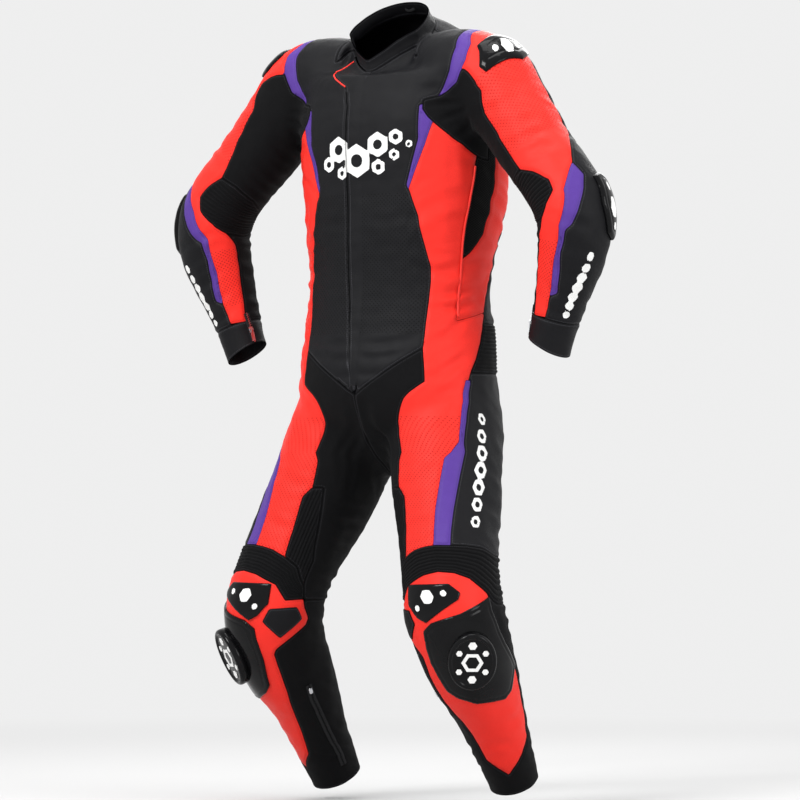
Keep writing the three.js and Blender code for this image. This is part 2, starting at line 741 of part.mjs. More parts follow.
function sleeve(side) {
  // the sleeve is cut on the left and mirrored for the right; only the way it
  // is turned differs
  let half = rest.intersect(leftHalf);
  const out = {};
  const ribs = armCut("elbow_ribs", side);
  const ribsGrown = armCut("elbow_ribs", side, GAP);
  out.cuff = half.intersect(acrossSleeve(CUFF_SEAM));
  half = half.subtract(acrossSleeve(CUFF_SEAM - GAP));
  let arm = half.intersect(armSide);
  out.elbow_ribs = arm.intersect(ribs);
  arm = arm.subtract(ribsGrown);
  out.forearm_purple = arm.intersect(armCut("purple", side));
  arm = arm.subtract(armCut("purple", side, GAP));
  const innerCut = armCut("arm_inner", side);
  const innerGrown = armCut("arm_inner", side, GAP);
  const both = half.subtract(ribsGrown).subtract(armCut("purple", side, GAP));
  const reach = armSide.add(gussetFront);
  out.arm_inner = both.intersect(innerCut.intersect(armSide).add(gussetFront.intersect(reach)));
  const gussetGrown = frontCut("gusset", -400, 40 + GAP, GAP);
  arm = arm.subtract(innerGrown).subtract(gussetGrown);
  out.sleeve_red = arm.intersect(armCut("sleeve_red", side));
  out.arm_outer = arm.subtract(armCut("sleeve_red", side, GAP));
  out.gussetGrown = gussetGrown;
  return out;
}

const leftSleeve = sleeve(1);
const rightSleeve = sleeve(-1);

let body = rest.intersect(leftHalf).subtract(armSideGrown).subtract(leftSleeve.gussetGrown);
const sided = {};
function takeFront(name, y0, y1) {
  sided[name] = body.intersect(frontCut(name, y0, y1));
  body = body.subtract(frontCut(name, y0 - GAP, y1 + GAP, GAP));
}
function takeBody(name) {
  sided[name] = body.intersect(bodyCut(name));
  body = body.subtract(bodyCut(name, GAP));
}
takeFront("stripe_shoulder", -300, SEAM_Y);
takeFront("stripe_chest", -300, 0);
takeFront("front", -300, SEAM_Y);
takeBody("mesh_wedge");
takeBody("side_back");
takeBody("grip");
takeBody("knee_ribs");
takeBody("knee_shin");
takeBody("thigh_purple");
takeBody("side_thigh");
takeBody("lumbar");
takeBody("seat");
takeBody("thigh_outer");
const knee = block(-1, 700, -400, 400, -1400, KNEE_SEAM)
  .add(block(205, 700, -400, 400, -1400, -920));
const groin = block(-1, 700, -400, 400, KNEE_SEAM - 1, -566)
  .add(block(-1, 700, -400, 0, -600, -500));
sided.calf = body.intersect(knee);
body = body.subtract(block(-1, 700, -400, 400, -1400, KNEE_SEAM + GAP))
  .subtract(block(205 - GAP, 700, -400, 400, -1400, -920 + GAP));
sided.crotch = body.intersect(groin);
sided.back = body.subtract(groin);

// pieces that lie on the panels
function onTop(solidOfTube, cutter) {
  return solidOfTube.intersect(cutter);
}
const legOver = tubeSolid(legTube, LEG_SIDES, LIFT + WALL, false, false)
  .subtract(tubeSolid(legTube, LEG_SIDES, LIFT, false, false));
const armOver = tubeSolid(armTube, ARM_SIDES, LIFT + 4, false, false, CUFF_SLANT)
  .subtract(tubeSolid(armTube, ARM_SIDES, LIFT, false, false, CUFF_SLANT));
sided.knee_badge = onTop(legOver, bodyCut("badge"));
sided.slider_base = onTop(legOver, bodyCut("slider_base"));
sided.knee_inset = onTop(legOver, bodyCut("pentagon"));

// the puck stands out from the shin at its own middle, facing front and down
function puckSolid() {
  const [z0, a0] = PUCK.middle;
  const skin = v3(...placeBody(z0, a0, 1));
  const out = skin.clone().sub(v3(...placeBody(z0, a0, 0))).normalize();
  out.z = PUCK.lean;
  out.normalize();
  const across = new THREE.Vector3().crossVectors(v3(0, 0, 1), out).normalize();
  const up = new THREE.Vector3().crossVectors(out, across).normalize();
  const rings = [[-30, 1], ...PUCK.rows].map(([far, size]) => {
    const ring = [];
    for (let j = 0; j < PUCK.sides; j++) {
      const t = 2 * Math.PI * j / PUCK.sides;
      ring.push(skin.clone().addScaledVector(out, far)
        .addScaledVector(across, PUCK.half_width * size * Math.cos(t))
        .addScaledVector(up, PUCK.half_height * size * Math.sin(t)));
    }
    return ring;
  });
  return loft(rings).subtract(tubeSolid(legTube, LEG_SIDES, LIFT * 2 + WALL, false, false));
}
sided.knee_puck = puckSolid();

const sleeveParts = ["elbow_ribs", "forearm_purple", "arm_inner", "sleeve_red", "arm_outer", "cuff"];
for (const name of sleeveParts) {
  pieces[name + "_left"] = leftSleeve[name];
  pieces[name + "_right"] = mirror(rightSleeve[name]);
}
pieces.shoulder_cup_left = onTop(armOver, armCut("shoulder_cup", 1));
pieces.shoulder_cup_right = mirror(onTop(armOver, armCut("shoulder_cup", -1)));
pieces.elbow_slider_left = onTop(armOver, armCut("elbow_slider", 1));
pieces.elbow_slider_right = mirror(onTop(armOver, armCut("elbow_slider", -1)));

// the fly covers the zip and takes its strip out of both fronts
const flapCut = frontCut("flap", -300, 0);
const flapGrown = frontCut("flap", -301, 1, GAP);
const fronts = sided.front.add(mirror(sided.front));
pieces.zip_flap = fronts.intersect(flapCut);
pieces.front_left = sided.front.subtract(flapGrown).intersect(openLeft);
pieces.front_right = mirror(sided.front).subtract(flapGrown).intersect(mirror(openLeft));
for (const name of ["back", "seat", "lumbar"]) {
  pieces[name] = sided[name].add(mirror(sided[name]));
}
const pairs = ["stripe_shoulder", "stripe_chest", "mesh_wedge", "side_back", "grip", "knee_ribs",
  "knee_shin", "thigh_purple", "side_thigh", "thigh_outer", "crotch", "calf", "knee_badge",
  "slider_base", "knee_inset", "knee_puck"];
for (const name of pairs) {
  const half = sided[name].intersect(openLeft);
  pieces[name + "_left"] = half;
  pieces[name + "_right"] = mirror(half);
}

// cuff zip slider with two lugs, and the pull tab on its pin between them
const cuffFacet = facetFrame(armTube, ARM_SIDES, SLIDER.facet, armTube.facets.length - 2,
  SLIDER.along, CUFF_SLANT);
const [lug0, lug1, ...lugRest] = SLIDER.lug;
const slider = Manifold.union([
  localBlock(cuffFacet, SLIDER.base),
  localBlock(cuffFacet, [lug0, lug1, ...lugRest]),
  localBlock(cuffFacet, [-lug1, -lug0, ...lugRest]),
]);
const pinFrame = {
  middle: placed(cuffFacet, 0, 0, SLIDER.pin_height),
  across: cuffFacet.across,
  down: cuffFacet.down.clone().applyAxisAngle(cuffFacet.across, -rad(SLIDER.sag)),
  out: cuffFacet.out.clone().applyAxisAngle(cuffFacet.across, -rad(SLIDER.sag)),
};
if (pinFrame.down.dot(cuffFacet.out) > 0) {
  pinFrame.down = cuffFacet.down.clone().applyAxisAngle(cuffFacet.across, rad(SLIDER.sag));
  pinFrame.out = cuffFacet.out.clone().applyAxisAngle(cuffFacet.across, rad(SLIDER.sag));
}
const half = SLIDER.tab_thick / 2;
const pin = loft([-SLIDER.pin_half, SLIDER.pin_half].map((a) => {
  const ring = [];
  for (let j = 0; j < 10; j++) {
    const t = 2 * Math.PI * j / 10;
    ring.push(placed(pinFrame, a, SLIDER.pin_radius * Math.cos(t), SLIDER.pin_radius * Math.sin(t)));
  }
  return ring;
}));
const pull = Manifold.union([
  pin,
  localBlock(pinFrame, [-SLIDER.pin_half, SLIDER.pin_half, 0, SLIDER.tab_start + 1, -half, half]),
  localBlock(pinFrame, [-SLIDER.tab_half, SLIDER.tab_half, SLIDER.tab_start, SLIDER.tab_end,
    -half, half]),
]);
pieces.cuff_slider_left = slider;
pieces.cuff_slider_right = mirror(slider);
pieces.cuff_pull_left = pull;
pieces.cuff_pull_right = mirror(pull);

// hanger loop: tape that droops between its two sewn ends
const neckFacet = facetFrame(torsoTube, TORSO_SIDES, 0, 0, 0);
function hangerLoop() {
  const rings = [];
  for (let i = 0; i <= 8; i++) {
    const u = -1 + i / 4;
    const bow = 1 - u * u;
    const low = HANGER.top + HANGER.drop * bow;
    const off = -(WALL + LIFT - 0.3 + HANGER.slack * bow);
    const slope = Math.atan2(-2 * HANGER.drop * u, HANGER.half);
    const [ca, sa] = [Math.cos(slope), Math.sin(slope)];
    rings.push([[-1, 0], [1, 0], [1, -1], [-1, -1]].map(([w, deep]) =>
      placed(neckFacet, HANGER.half * u - sa * w * HANGER.tape / 2,
        low + ca * w * HANGER.tape / 2, off + deep * HANGER.thick)));
  }
  return loft(rings);
}
pieces.hanger_loop = hangerLoop();

const LOOK = {
  collar: "black", front: "black", back: "black", seat: "black", lumbar: "stretch",
  zip_flap: "black", stripe_shoulder: "purple", stripe_chest: "purple", mesh_wedge: "mesh",
  side_back: "red", side_thigh: "red", grip: "stretch", knee_ribs: "stretch",
  knee_shin: "red", thigh_purple: "purple", thigh_outer: "black", crotch: "stretch",
  calf: "stretch", knee_badge: "plastic", slider_base: "plastic", knee_inset: "black",
  knee_puck: "plastic", elbow_ribs: "stretch", forearm_purple: "purple", arm_inner: "stretch",
  sleeve_red: "red", arm_outer: "black", cuff: "black", shoulder_cup: "plastic",
  elbow_slider: "plastic", cuff_slider: "metal", cuff_pull: "metal", hanger_loop: "stretch",
};

// Slips too small to sew, left where two cuts meet, are dropped.
function whole(solid) {
  const bodies = solid.asOriginal().simplify(TIDY).decompose();
  bodies.sort((a, b) => b.volume() - a.volume());
  return bodies[0];
}

const group = new THREE.Group();
group.name = "race_suit";
for (const [name, solid] of Object.entries(pieces)) {
  const mesh = whole(solid).getMesh();
  const geometry = new THREE.BufferGeometry();
  const points = new Float32Array(mesh.numVert * 3);
  for (let i = 0; i < mesh.numVert; i++) {
    for (let k = 0; k < 3; k++) points[i * 3 + k] = mesh.vertProperties[i * mesh.numProp + k];
  }
  geometry.setAttribute("position", new THREE.BufferAttribute(points, 3));
  geometry.setIndex(Array.from(mesh.triVerts));
  const look = LOOK[name.replace(/_(left|right)$/, "")];
  const shiny = look === "plastic";
  const material = new THREE.MeshStandardMaterial({
    color: COLOUR[look],
    roughness: shiny ? 0.25 : 0.6,
    metalness: look === "metal" ? 0.9 : 0,
  });
  const node = new THREE.Mesh(geometry, material);
  node.name = name;
  group.add(node);
}

export default group;
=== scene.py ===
import bpy
import math
import numpy as np
from mathutils import Vector, Matrix
from mathutils.bvhtree import BVHTree
from mathutils.kdtree import KDTree


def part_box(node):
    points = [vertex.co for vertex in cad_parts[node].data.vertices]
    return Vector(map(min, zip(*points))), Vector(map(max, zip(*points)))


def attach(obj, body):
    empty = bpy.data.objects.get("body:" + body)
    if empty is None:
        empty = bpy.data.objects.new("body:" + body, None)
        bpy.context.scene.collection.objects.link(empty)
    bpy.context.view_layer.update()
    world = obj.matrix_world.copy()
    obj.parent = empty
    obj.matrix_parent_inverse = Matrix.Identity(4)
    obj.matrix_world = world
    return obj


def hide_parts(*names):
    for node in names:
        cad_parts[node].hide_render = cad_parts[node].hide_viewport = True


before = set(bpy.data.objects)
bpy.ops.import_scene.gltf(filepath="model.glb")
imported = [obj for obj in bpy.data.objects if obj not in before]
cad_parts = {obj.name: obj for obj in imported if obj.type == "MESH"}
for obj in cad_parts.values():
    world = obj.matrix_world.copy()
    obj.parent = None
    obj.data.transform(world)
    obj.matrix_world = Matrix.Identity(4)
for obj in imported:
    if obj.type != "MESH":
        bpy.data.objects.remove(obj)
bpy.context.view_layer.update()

# Lengths are millimetres until a mesh is made.  +X is the wearer's left, -Y the front.
MM = 0.001
VOXEL = 4.5
THICK = 1.8

# The same tables as the solids: sections of trunk, leg and sleeve, then panel outlines.
TORSO = ("z y tilt wide front back square", [
    (32, -6, 37, 72, 84, 80, 2.2), (10, 10, 37, 77, 88, 86, 2.2), (-2, 20, 33, 106, 98, 100, 2.2),
    (-18, 28, 20, 156, 108, 112, 2.4), (-66, 34, 10, 172, 122, 126, 2.5), (-130, 38, 4, 178, 134, 138, 2.5),
    (-180, 44, 0, 179, 139, 142, 2.5), (-266, 50, 0, 176, 140, 142, 2.5), (-320, 44, 0, 171, 134, 134, 2.4),
    (-400, 36, 0, 163, 122, 122, 2.3), (-437, 32, 0, 163, 120, 120, 2.3), (-489, 32, 0, 170, 126, 128, 2.3),
    (-549, 28, 0, 175, 132, 136, 2.3), (-609, 26, 0, 174, 130, 138, 2.3), (-660, 30, 0, 160, 112, 128, 2.2),
    (-705, 35, 0, 115, 75, 92, 2.0), (-738, 38, 0, 40, 30, 40, 2.0)])
LEG = ("x y z outer inner front back square", [
    (92, 34, -560, 74, 84, 106, 106, 2.2), (100, 26, -640, 82, 90, 108, 118, 2.2),
    (116, 4, -710, 86, 92, 102, 106, 2.2), (136, -24, -790, 85, 86, 92, 97, 2.2),
    (158, -52, -860, 80, 80, 84, 86, 2.2), (174, -70, -915, 79, 79, 83, 80, 2.2),
    (185, -74, -965, 80, 80, 86, 77, 2.3), (190, -56, -1020, 78, 76, 80, 74, 2.3),
    (190, -26, -1068, 72, 71, 74, 73, 2.2), (189, 22, -1130, 60, 60, 60, 64, 2.1),
    (188, 58, -1185, 51, 52, 52, 54, 2.0), (186, 94, -1238, 45, 46, 46, 46, 2.0),
    (185, 108, -1260, 43, 44, 44, 44, 2.0)])
ARM = ("x y z outer inner front back square", [
    (70, 22, -34, 48, 52, 62, 62, 2.0), (124, 26, -38, 62, 84, 78, 84, 2.2), (180, 26, -60, 73, 82, 76, 80, 2.3),
    (238, 18, -122, 67, 68, 68, 72, 2.2), (298, 6, -196, 63, 62, 62, 66, 2.2), (346, 0, -250, 61, 62, 62, 64, 2.2),
    (370, 0, -294, 64, 62, 64, 66, 2.2), (371, 3, -342, 61, 60, 59, 62, 2.2), (357, 9, -394, 53, 52, 51, 54, 2.2),
    (340, 14, -442, 45, 44, 44, 46, 2.1), (322, 18, -496, 38, 38, 38, 39, 2.1), (313, 20, -522, 37, 37, 37, 38, 2.1)])
AXIS = np.array([
    (60, 0, 20), (0, 0, 28), (-60, 0, 36), (-540, 0, 34), (-600, 14, 30), (-650, 52, 26), (-700, 104, 8),
    (-790, 136, -24), (-860, 158, -52), (-915, 174, -70), (-965, 185, -74), (-1020, 190, -56), (-1068, 190, -26),
    (-1130, 189, 22), (-1185, 188, 58), (-1260, 185, 108), (-1300, 184, 134)], float)
TURN = np.array([(0, 0), (120, -5), (160, -18), (205, -18), (260, -15), (327, -8), (370, 0), (407, 12),
                 (450, 17), (485, 15), (560, 9), (670, 10)], float)
CUFF_SLANT = 9
POINT = [1.35, 1.35, 1.6]
CUFF_SEAM, KNEE_SEAM, SEAM_Y = 607, -951, 32

FRONT = {
    "armhole": [(168, 90), (176, 14), (190, -10), (188, -38), (171, -75), (172, -110), (178, -150), (184, -190),
                (202, -262), (226, -600), (620, -600), (620, 90)],
    "gusset": [(186, -64), (171, -75), (140, -97), (117, -104), (117, -120), (126, -134), (150, -160),
               (167, -180), (178, -202), (204, -226), (226, -190), (206, -90)],
    "stripe_shoulder": [(160, 60), (160, 14), (165, -15), (158, -55), (134, -106), (180, -86), (200, -38), (200, 60)],
    "stripe_chest": [(112, -112), (111, -170), (89, -248), (92, -256), (121, -180), (134, -138), (128, -112)],
    "flap": [(5, 0), (-40, 0), (-53, -31), (-75, -47), (-32, -77), (-24, -110), (-24, -400), (-12, -520),
             (-4, -596), (4, -596), (5, -400)],
    "front": [(-1, 60), (166, 60), (166, -100), (120, -135), (92, -252), (107, -300), (109, -318), (122, -388),
              (122, -406), (119, -483), (119, -524), (-1, -603)],
}
BODY = {
    "mesh_wedge": [(-150, 81), (-150, 99), (-234, 99), (-281, 96), (-328, 91), (-362, 80), (-374, 75),
                   (-358, 74), (-314, 75), (-238, 79), (-196, 81)],
    "side_back": [(-150, 99), (-104, 121), (-215, 126), (-300, 120), (-353, 113), (-373, 109), (-461, 94),
                  (-478, 69), (-421, 73), (-374, 75), (-362, 80), (-328, 91), (-281, 96), (-234, 99)],
    "grip": [(-759, -34), (-760, -21), (-775, -16), (-877, -27), (-895, -47), (-928, -64), (-885, -64), (-847, -55)],
    "knee_ribs": [(-928, -64), (-895, -47), (-877, -27), (-865, -10), (-859, 5), (-856, 18), (-856, 34), (-857, 52),
                  (-862, 72), (-874, 100), (-880, 150), (-955, 150), (-955, 96), (-949, 86), (-937, 77), (-924, 64),
                  (-912, 54), (-903, 37), (-901, 19), (-907, 0), (-925, -29), (-952, -44), (-950, -67)],
    "knee_shin": [(-950, -67), (-952, -44), (-925, -29), (-907, 0), (-901, 19), (-903, 37), (-912, 54), (-924, 64),
                  (-939, 78), (-1000, 80), (-1057, 111), (-1147, 115), (-1180, 105), (-1234, 41), (-1247, 28),
                  (-1222, -2), (-1188, -9), (-1159, -12), (-1111, -20), (-1071, -23), (-1045, -24), (-1036, -28),
                  (-994, -72), (-982, -77)],
    "thigh_purple": [(-578, 73), (-614, 69), (-683, 53), (-710, 35), (-758, 27), (-794, 21), (-868, 15), (-868, 34),
                     (-832, 36), (-793, 40), (-725, 51), (-686, 57), (-613, 74), (-579, 77)],
    "side_thigh": [(-90, 40), (-120, 30), (-254, 30), (-256, 37), (-300, 46), (-316, 46), (-388, 53), (-406, 53),
                   (-483, 50), (-524, 48), (-544, 48), (-581, 47), (-610, 30), (-636, 18), (-668, 4), (-715, -15),
                   (-759, -22), (-785, -17), (-832, -24), (-880, -34), (-900, -44), (-896, 25), (-794, 30),
                   (-758, 34), (-710, 43), (-683, 55), (-614, 71.5), (-579, 75), (-563, 77), (-543, 81), (-461, 94),
                   (-478, 69), (-421, 73), (-374, 75), (-358, 74), (-314, 75), (-238, 79), (-196, 81), (-90, 81)],
    "lumbar": [(-480, 70), (-480, 200), (-566, 200), (-566, 70)],
    "seat": [(-560, 118), (-560, 200), (-640, 210), (-700, 232), (-760, 232), (-745, 200), (-700, 150), (-640, 124)],
    "thigh_outer": [(-560, 60), (-560, 140), (-700, 205), (-760, 222), (-860, 212), (-884, 212), (-884, 10), (-700, 30)],
    "pentagon": [(-966, -28), (-963, -60), (-983, -66), (-1016, -36), (-988, -19)],
    "badge": [(-923, -24), (-921, 30), (-936, 41), (-947, 38), (-986, -3), (-978, -14), (-958, -26)],
    "slider_base": [(-1000, -9), (-986, 3), (-970, 38), (-943, 77), (-1000, 86), (-1057, 108), (-1100, 79),
                    (-1115, 60), (-1122, 22), (-1112, 5), (-1100, -4), (-1075, -8), (-1053, -11), (-1026, -11)],
}
SLEEVE = {
    "elbow_ribs": [(322, -40), (328, -11), (349, 1), (376, 11), (394, 3), (407, -20), (432, -40), (442, -72),
                   (436, -110), (400, -122), (345, -116), (326, -80)],
    "purple": [(368, 60), (391, 60), (420, 31), (445, 12), (452, 2), (485, -2), (557, 11), (566, -4), (510, -12),
               (446, -9), (401, 16)],
    "sleeve_red": [(40, -10), (102, -10), (110, 8), (130, 15), (155, 21), (173, 22), (205, 5), (257, 1), (328, -11),
                   (349, 1), (376, 11), (394, 3), (407, -20), (432, -40), (466, -58), (515, -59), (562, -56),
                   (598, -46), (608, -46), (604, -5), (566, -4), (510, -12), (446, -9), (401, 16), (368, 60),
                   (359, 68), (308, 118), (271, 128), (120, 128), (40, 128)],
    "arm_inner": [(40, -10), (102, -10), (110, 8), (130, 15), (155, 21), (173, 22), (205, 5), (257, 1), (328, -11),
                  (400, -30), (432, -40), (466, -58), (515, -59), (562, -56), (598, -46), (608, -46), (612, -100),
                  (612, -155), (400, -155), (200, -155), (40, -155)],
    "shoulder_cup": [(113, 44), (108, 80), (115, 116), (138, 124), (152, 100), (150, 80), (154, 40), (140, 33)],
    "elbow_slider": [(396, 74), (390, 96), (398, 116), (428, 126), (460, 118), (468, 98), (456, 78), (424, 68)],
}

# Main creases.  zone, start, bend, end, half width and depth; they are laid on both sides.
# body: height and angle; sleeve: distance along and angle; front: x and height.
FOLDS = [
    ("front", (176, -108), (150, -106), (124, -113), 5, 2.6), ("front", (180, -122), (160, -130), (136, -143), 5, 2.8),
    ("front", (184, -140), (172, -155), (160, -172), 5, 2.6), ("front", (190, -160), (184, -180), (180, -204), 6, 2.4),
    ("front", (168, -92), (140, -84), (112, -88), 8, 1.6), ("front", (70, -202), (38, -208), (8, -204), 7, 1.3),
    ("front", (90, -300), (60, -312), (20, -308), 9, 1.2), ("front", (100, -505), (50, -520), (8, -514), 8, 1.9),
    ("front", (84, -536), (45, -548), (6, -540), 7, 1.9), ("front", (50, -566), (26, -574), (4, -566), 6, 1.8),
    ("body", (-150, 66), (-200, 60), (-262, 66), 10, 1.4), ("body", (-240, 52), (-290, 62), (-350, 58), 10, 1.4),
    ("body", (-372, 92), (-392, 72), (-398, 52), 9, 4.1), ("body", (-404, 100), (-424, 78), (-430, 58), 9, 4.3),
    ("body", (-440, 92), (-458, 76), (-462, 54), 8, 4.1), ("body", (-470, 74), (-500, 66), (-520, 52), 9, 3.2),
    ("body", (-530, 76), (-560, 62), (-576, 50), 9, 2.9), ("body", (-590, 66), (-630, 48), (-655, 22), 10, 3.5),
    ("body", (-640, 50), (-680, 30), (-700, 2), 9, 1.8), ("body", (-730, 26), (-752, 8), (-760, -14), 9, 1.4),
    ("body", (-810, 20), (-826, 0), (-832, -18), 8, 1.6), ("body", (-846, 18), (-856, -2), (-862, -20), 6, 1.4),
    ("body", (-610, 0), (-650, -20), (-712, -44), 8, 4.6), ("body", (-636, -10), (-690, -30), (-748, -52), 7, 2.7),
    ("body", (-668, -34), (-720, -56), (-772, -66), 7, 2.5), ("body", (-700, -72), (-740, -92), (-770, -118), 7, 2.5),
    ("body", (-784, -48), (-796, -78), (-798, -112), 6, 2.3), ("body", (-816, -62), (-828, -92), (-826, -128), 6, 2.2),
    ("body", (-848, -74), (-862, -100), (-862, -140), 6, 2.2), ("body", (-886, -80), (-900, -110), (-896, -150), 6, 1.7),
    ("body", (-916, -82), (-924, -120), (-920, -168), 6, 2.1), ("body", (-936, -84), (-944, -125), (-942, -176), 6, 2.2),
    ("body", (-956, -82), (-966, -125), (-962, -172), 6, 2.1), ("body", (-982, -88), (-992, -120), (-988, -165), 6, 1.9),
    ("body", (-1010, -80), (-1022, -110), (-1020, -150), 7, 1.5), ("body", (-1048, -50), (-1062, -84), (-1066, -130), 8, 1.2),
    ("body", (-1088, -60), (-1106, -90), (-1110, -140), 8, 1.4), ("body", (-1128, -36), (-1142, -76), (-1148, -130), 7, 1.4),
    ("body", (-1164, -66), (-1178, -100), (-1182, -150), 7, 1.4), ("body", (-1196, -30), (-1206, -70), (-1210, -140), 6, 2.1),
    ("body", (-1228, -20), (-1236, -60), (-1240, -120), 5, 1.8), ("body", (-900, 168), (-892, 140), (-884, 104), 7, 1.8),
    ("body", (-926, 172), (-930, 140), (-922, 116), 6, 2.0), ("body", (-946, 174), (-952, 140), (-946, 112), 6, 2.0),
    ("body", (-970, 172), (-976, 140), (-968, 104), 6, 1.9), ("body", (-996, 168), (-1004, 140), (-996, 104), 7, 1.6),
    ("body", (-1030, 166), (-1042, 140), (-1040, 112), 8, 1.3), ("body", (-1074, 170), (-1090, 140), (-1092, 118), 8, 1.3),
    ("body", (-1120, 166), (-1134, 140), (-1136, 118), 7, 1.3), ("body", (-1160, 160), (-1172, 126), (-1172, 96), 7, 1.3),
    ("body", (-1196, 150), (-1206, 110), (-1202, 74), 6, 2.0), ("body", (-1226, 130), (-1236, 90), (-1232, 50), 5, 1.8),
    ("body", (-1140, 96), (-1158, 66), (-1162, 30), 8, 1.4), ("body", (-1180, 78), (-1194, 46), (-1196, 10), 7, 1.4),
    ("body", (-660, 96), (-690, 124), (-700, 156), 10, 2.0), ("body", (-720, 84), (-748, 118), (-752, 160), 10, 1.8),
    ("body", (-790, 80), (-808, 110), (-808, 150), 9, 1.8), ("body", (-836, 92), (-846, 124), (-842, 164), 8, 2.0),
    ("body", (-690, 150), (-712, 176), (-716, 206), 8, 2.7), ("body", (-730, 150), (-746, 180), (-744, 214), 7, 2.7),
    ("body", (-600, 108), (-628, 140), (-634, 176), 12, 1.8), ("body", (-110, 112), (-160, 136), (-220, 148), 12, 1.2),
    ("body", (-90, 128), (-120, 152), (-170, 170), 12, 1.1), ("body", (-300, 124), (-330, 146), (-336, 176), 12, 1.0),
    ("body", (-390, 112), (-410, 140), (-408, 178), 9, 1.3), ("body", (-426, 106), (-446, 140), (-440, 178), 8, 1.4),
    ("body", (-456, 100), (-470, 140), (-466, 178), 7, 1.2),
    ("sleeve", (130, -60), (142, -100), (150, -140), 7, 2.0), ("sleeve", (156, -66), (168, -104), (174, -146), 7, 2.0),
    ("sleeve", (186, -64), (196, -100), (200, -150), 7, 1.7), ("sleeve", (228, -48), (238, -90), (240, -146), 7, 1.5),
    ("sleeve", (262, -36), (272, -84), (274, -140), 7, 1.8), ("sleeve", (284, -32), (294, -84), (296, -144), 6, 2.1),
    ("sleeve", (304, -34), (312, -84), (312, -140), 6, 2.2), ("sleeve", (450, -52), (456, -96), (452, -142), 6, 2.1),
    ("sleeve", (470, -48), (480, -92), (474, -146), 6, 1.8), ("sleeve", (496, -62), (506, -100), (502, -150), 7, 1.5),
    ("sleeve", (526, -58), (536, -98), (532, -150), 7, 1.4), ("sleeve", (556, -60), (566, -100), (562, -150), 7, 1.4),
    ("sleeve", (584, -52), (592, -96), (588, -150), 6, 1.3), ("sleeve", (196, -4), (214, 24), (222, 60), 9, 1.6),
    ("sleeve", (244, -8), (262, 22), (268, 62), 9, 1.7), ("sleeve", (284, 0), (300, 24), (304, 66), 8, 2.0),
    ("sleeve", (316, 8), (330, 30), (332, 58), 8, 2.0), ("sleeve", (430, -22), (448, 8), (450, 44), 7, 1.8),
    ("sleeve", (464, -28), (482, 6), (484, 48), 8, 1.7), ("sleeve", (504, -24), (520, 8), (522, 52), 8, 1.7),
    ("sleeve", (544, -30), (558, 6), (560, 56), 7, 1.7), ("sleeve", (580, -26), (590, 14), (590, 66), 6, 1.5),
    ("sleeve", (214, 100), (232, 136), (236, 172), 10, 1.8), ("sleeve", (270, 110), (286, 140), (288, 176), 9, 2.0),
    ("sleeve", (318, 108), (332, 140), (334, 176), 8, 2.4), ("sleeve", (352, 128), (362, 152), (362, 180), 7, 2.4),
    ("sleeve", (482, 96), (496, 132), (496, 174), 8, 2.0), ("sleeve", (524, 92), (540, 130), (540, 174), 8, 2.0),
    ("sleeve", (566, 96), (580, 134), (580, 176), 7, 1.8),
]

RAD = math.pi / 180


def curve(knots, values, at):
    # the same smooth curve through the rows as in the solids
    d = np.diff(values) / np.diff(knots)
    h = np.diff(knots)
    tan = np.concatenate([[d[0]], (d[:-1] * h[1:] + d[1:] * h[:-1]) / (h[:-1] + h[1:]), [d[-1]]])
    at = np.clip(at, knots[0], knots[-1])
    i = np.clip(np.searchsorted(knots, at, side="right") - 1, 0, len(knots) - 2)
    t = (at - knots[i]) / h[i]
    return ((2 * t**3 - 3 * t**2 + 1) * values[i] + (t**3 - 2 * t**2 + t) * h[i] * tan[i]
            + (-2 * t**3 + 3 * t**2) * values[i + 1] + (t**3 - t**2) * h[i] * tan[i + 1])


def unit(v):
    return v / np.maximum(np.linalg.norm(v, axis=-1, keepdims=True), 1e-12)


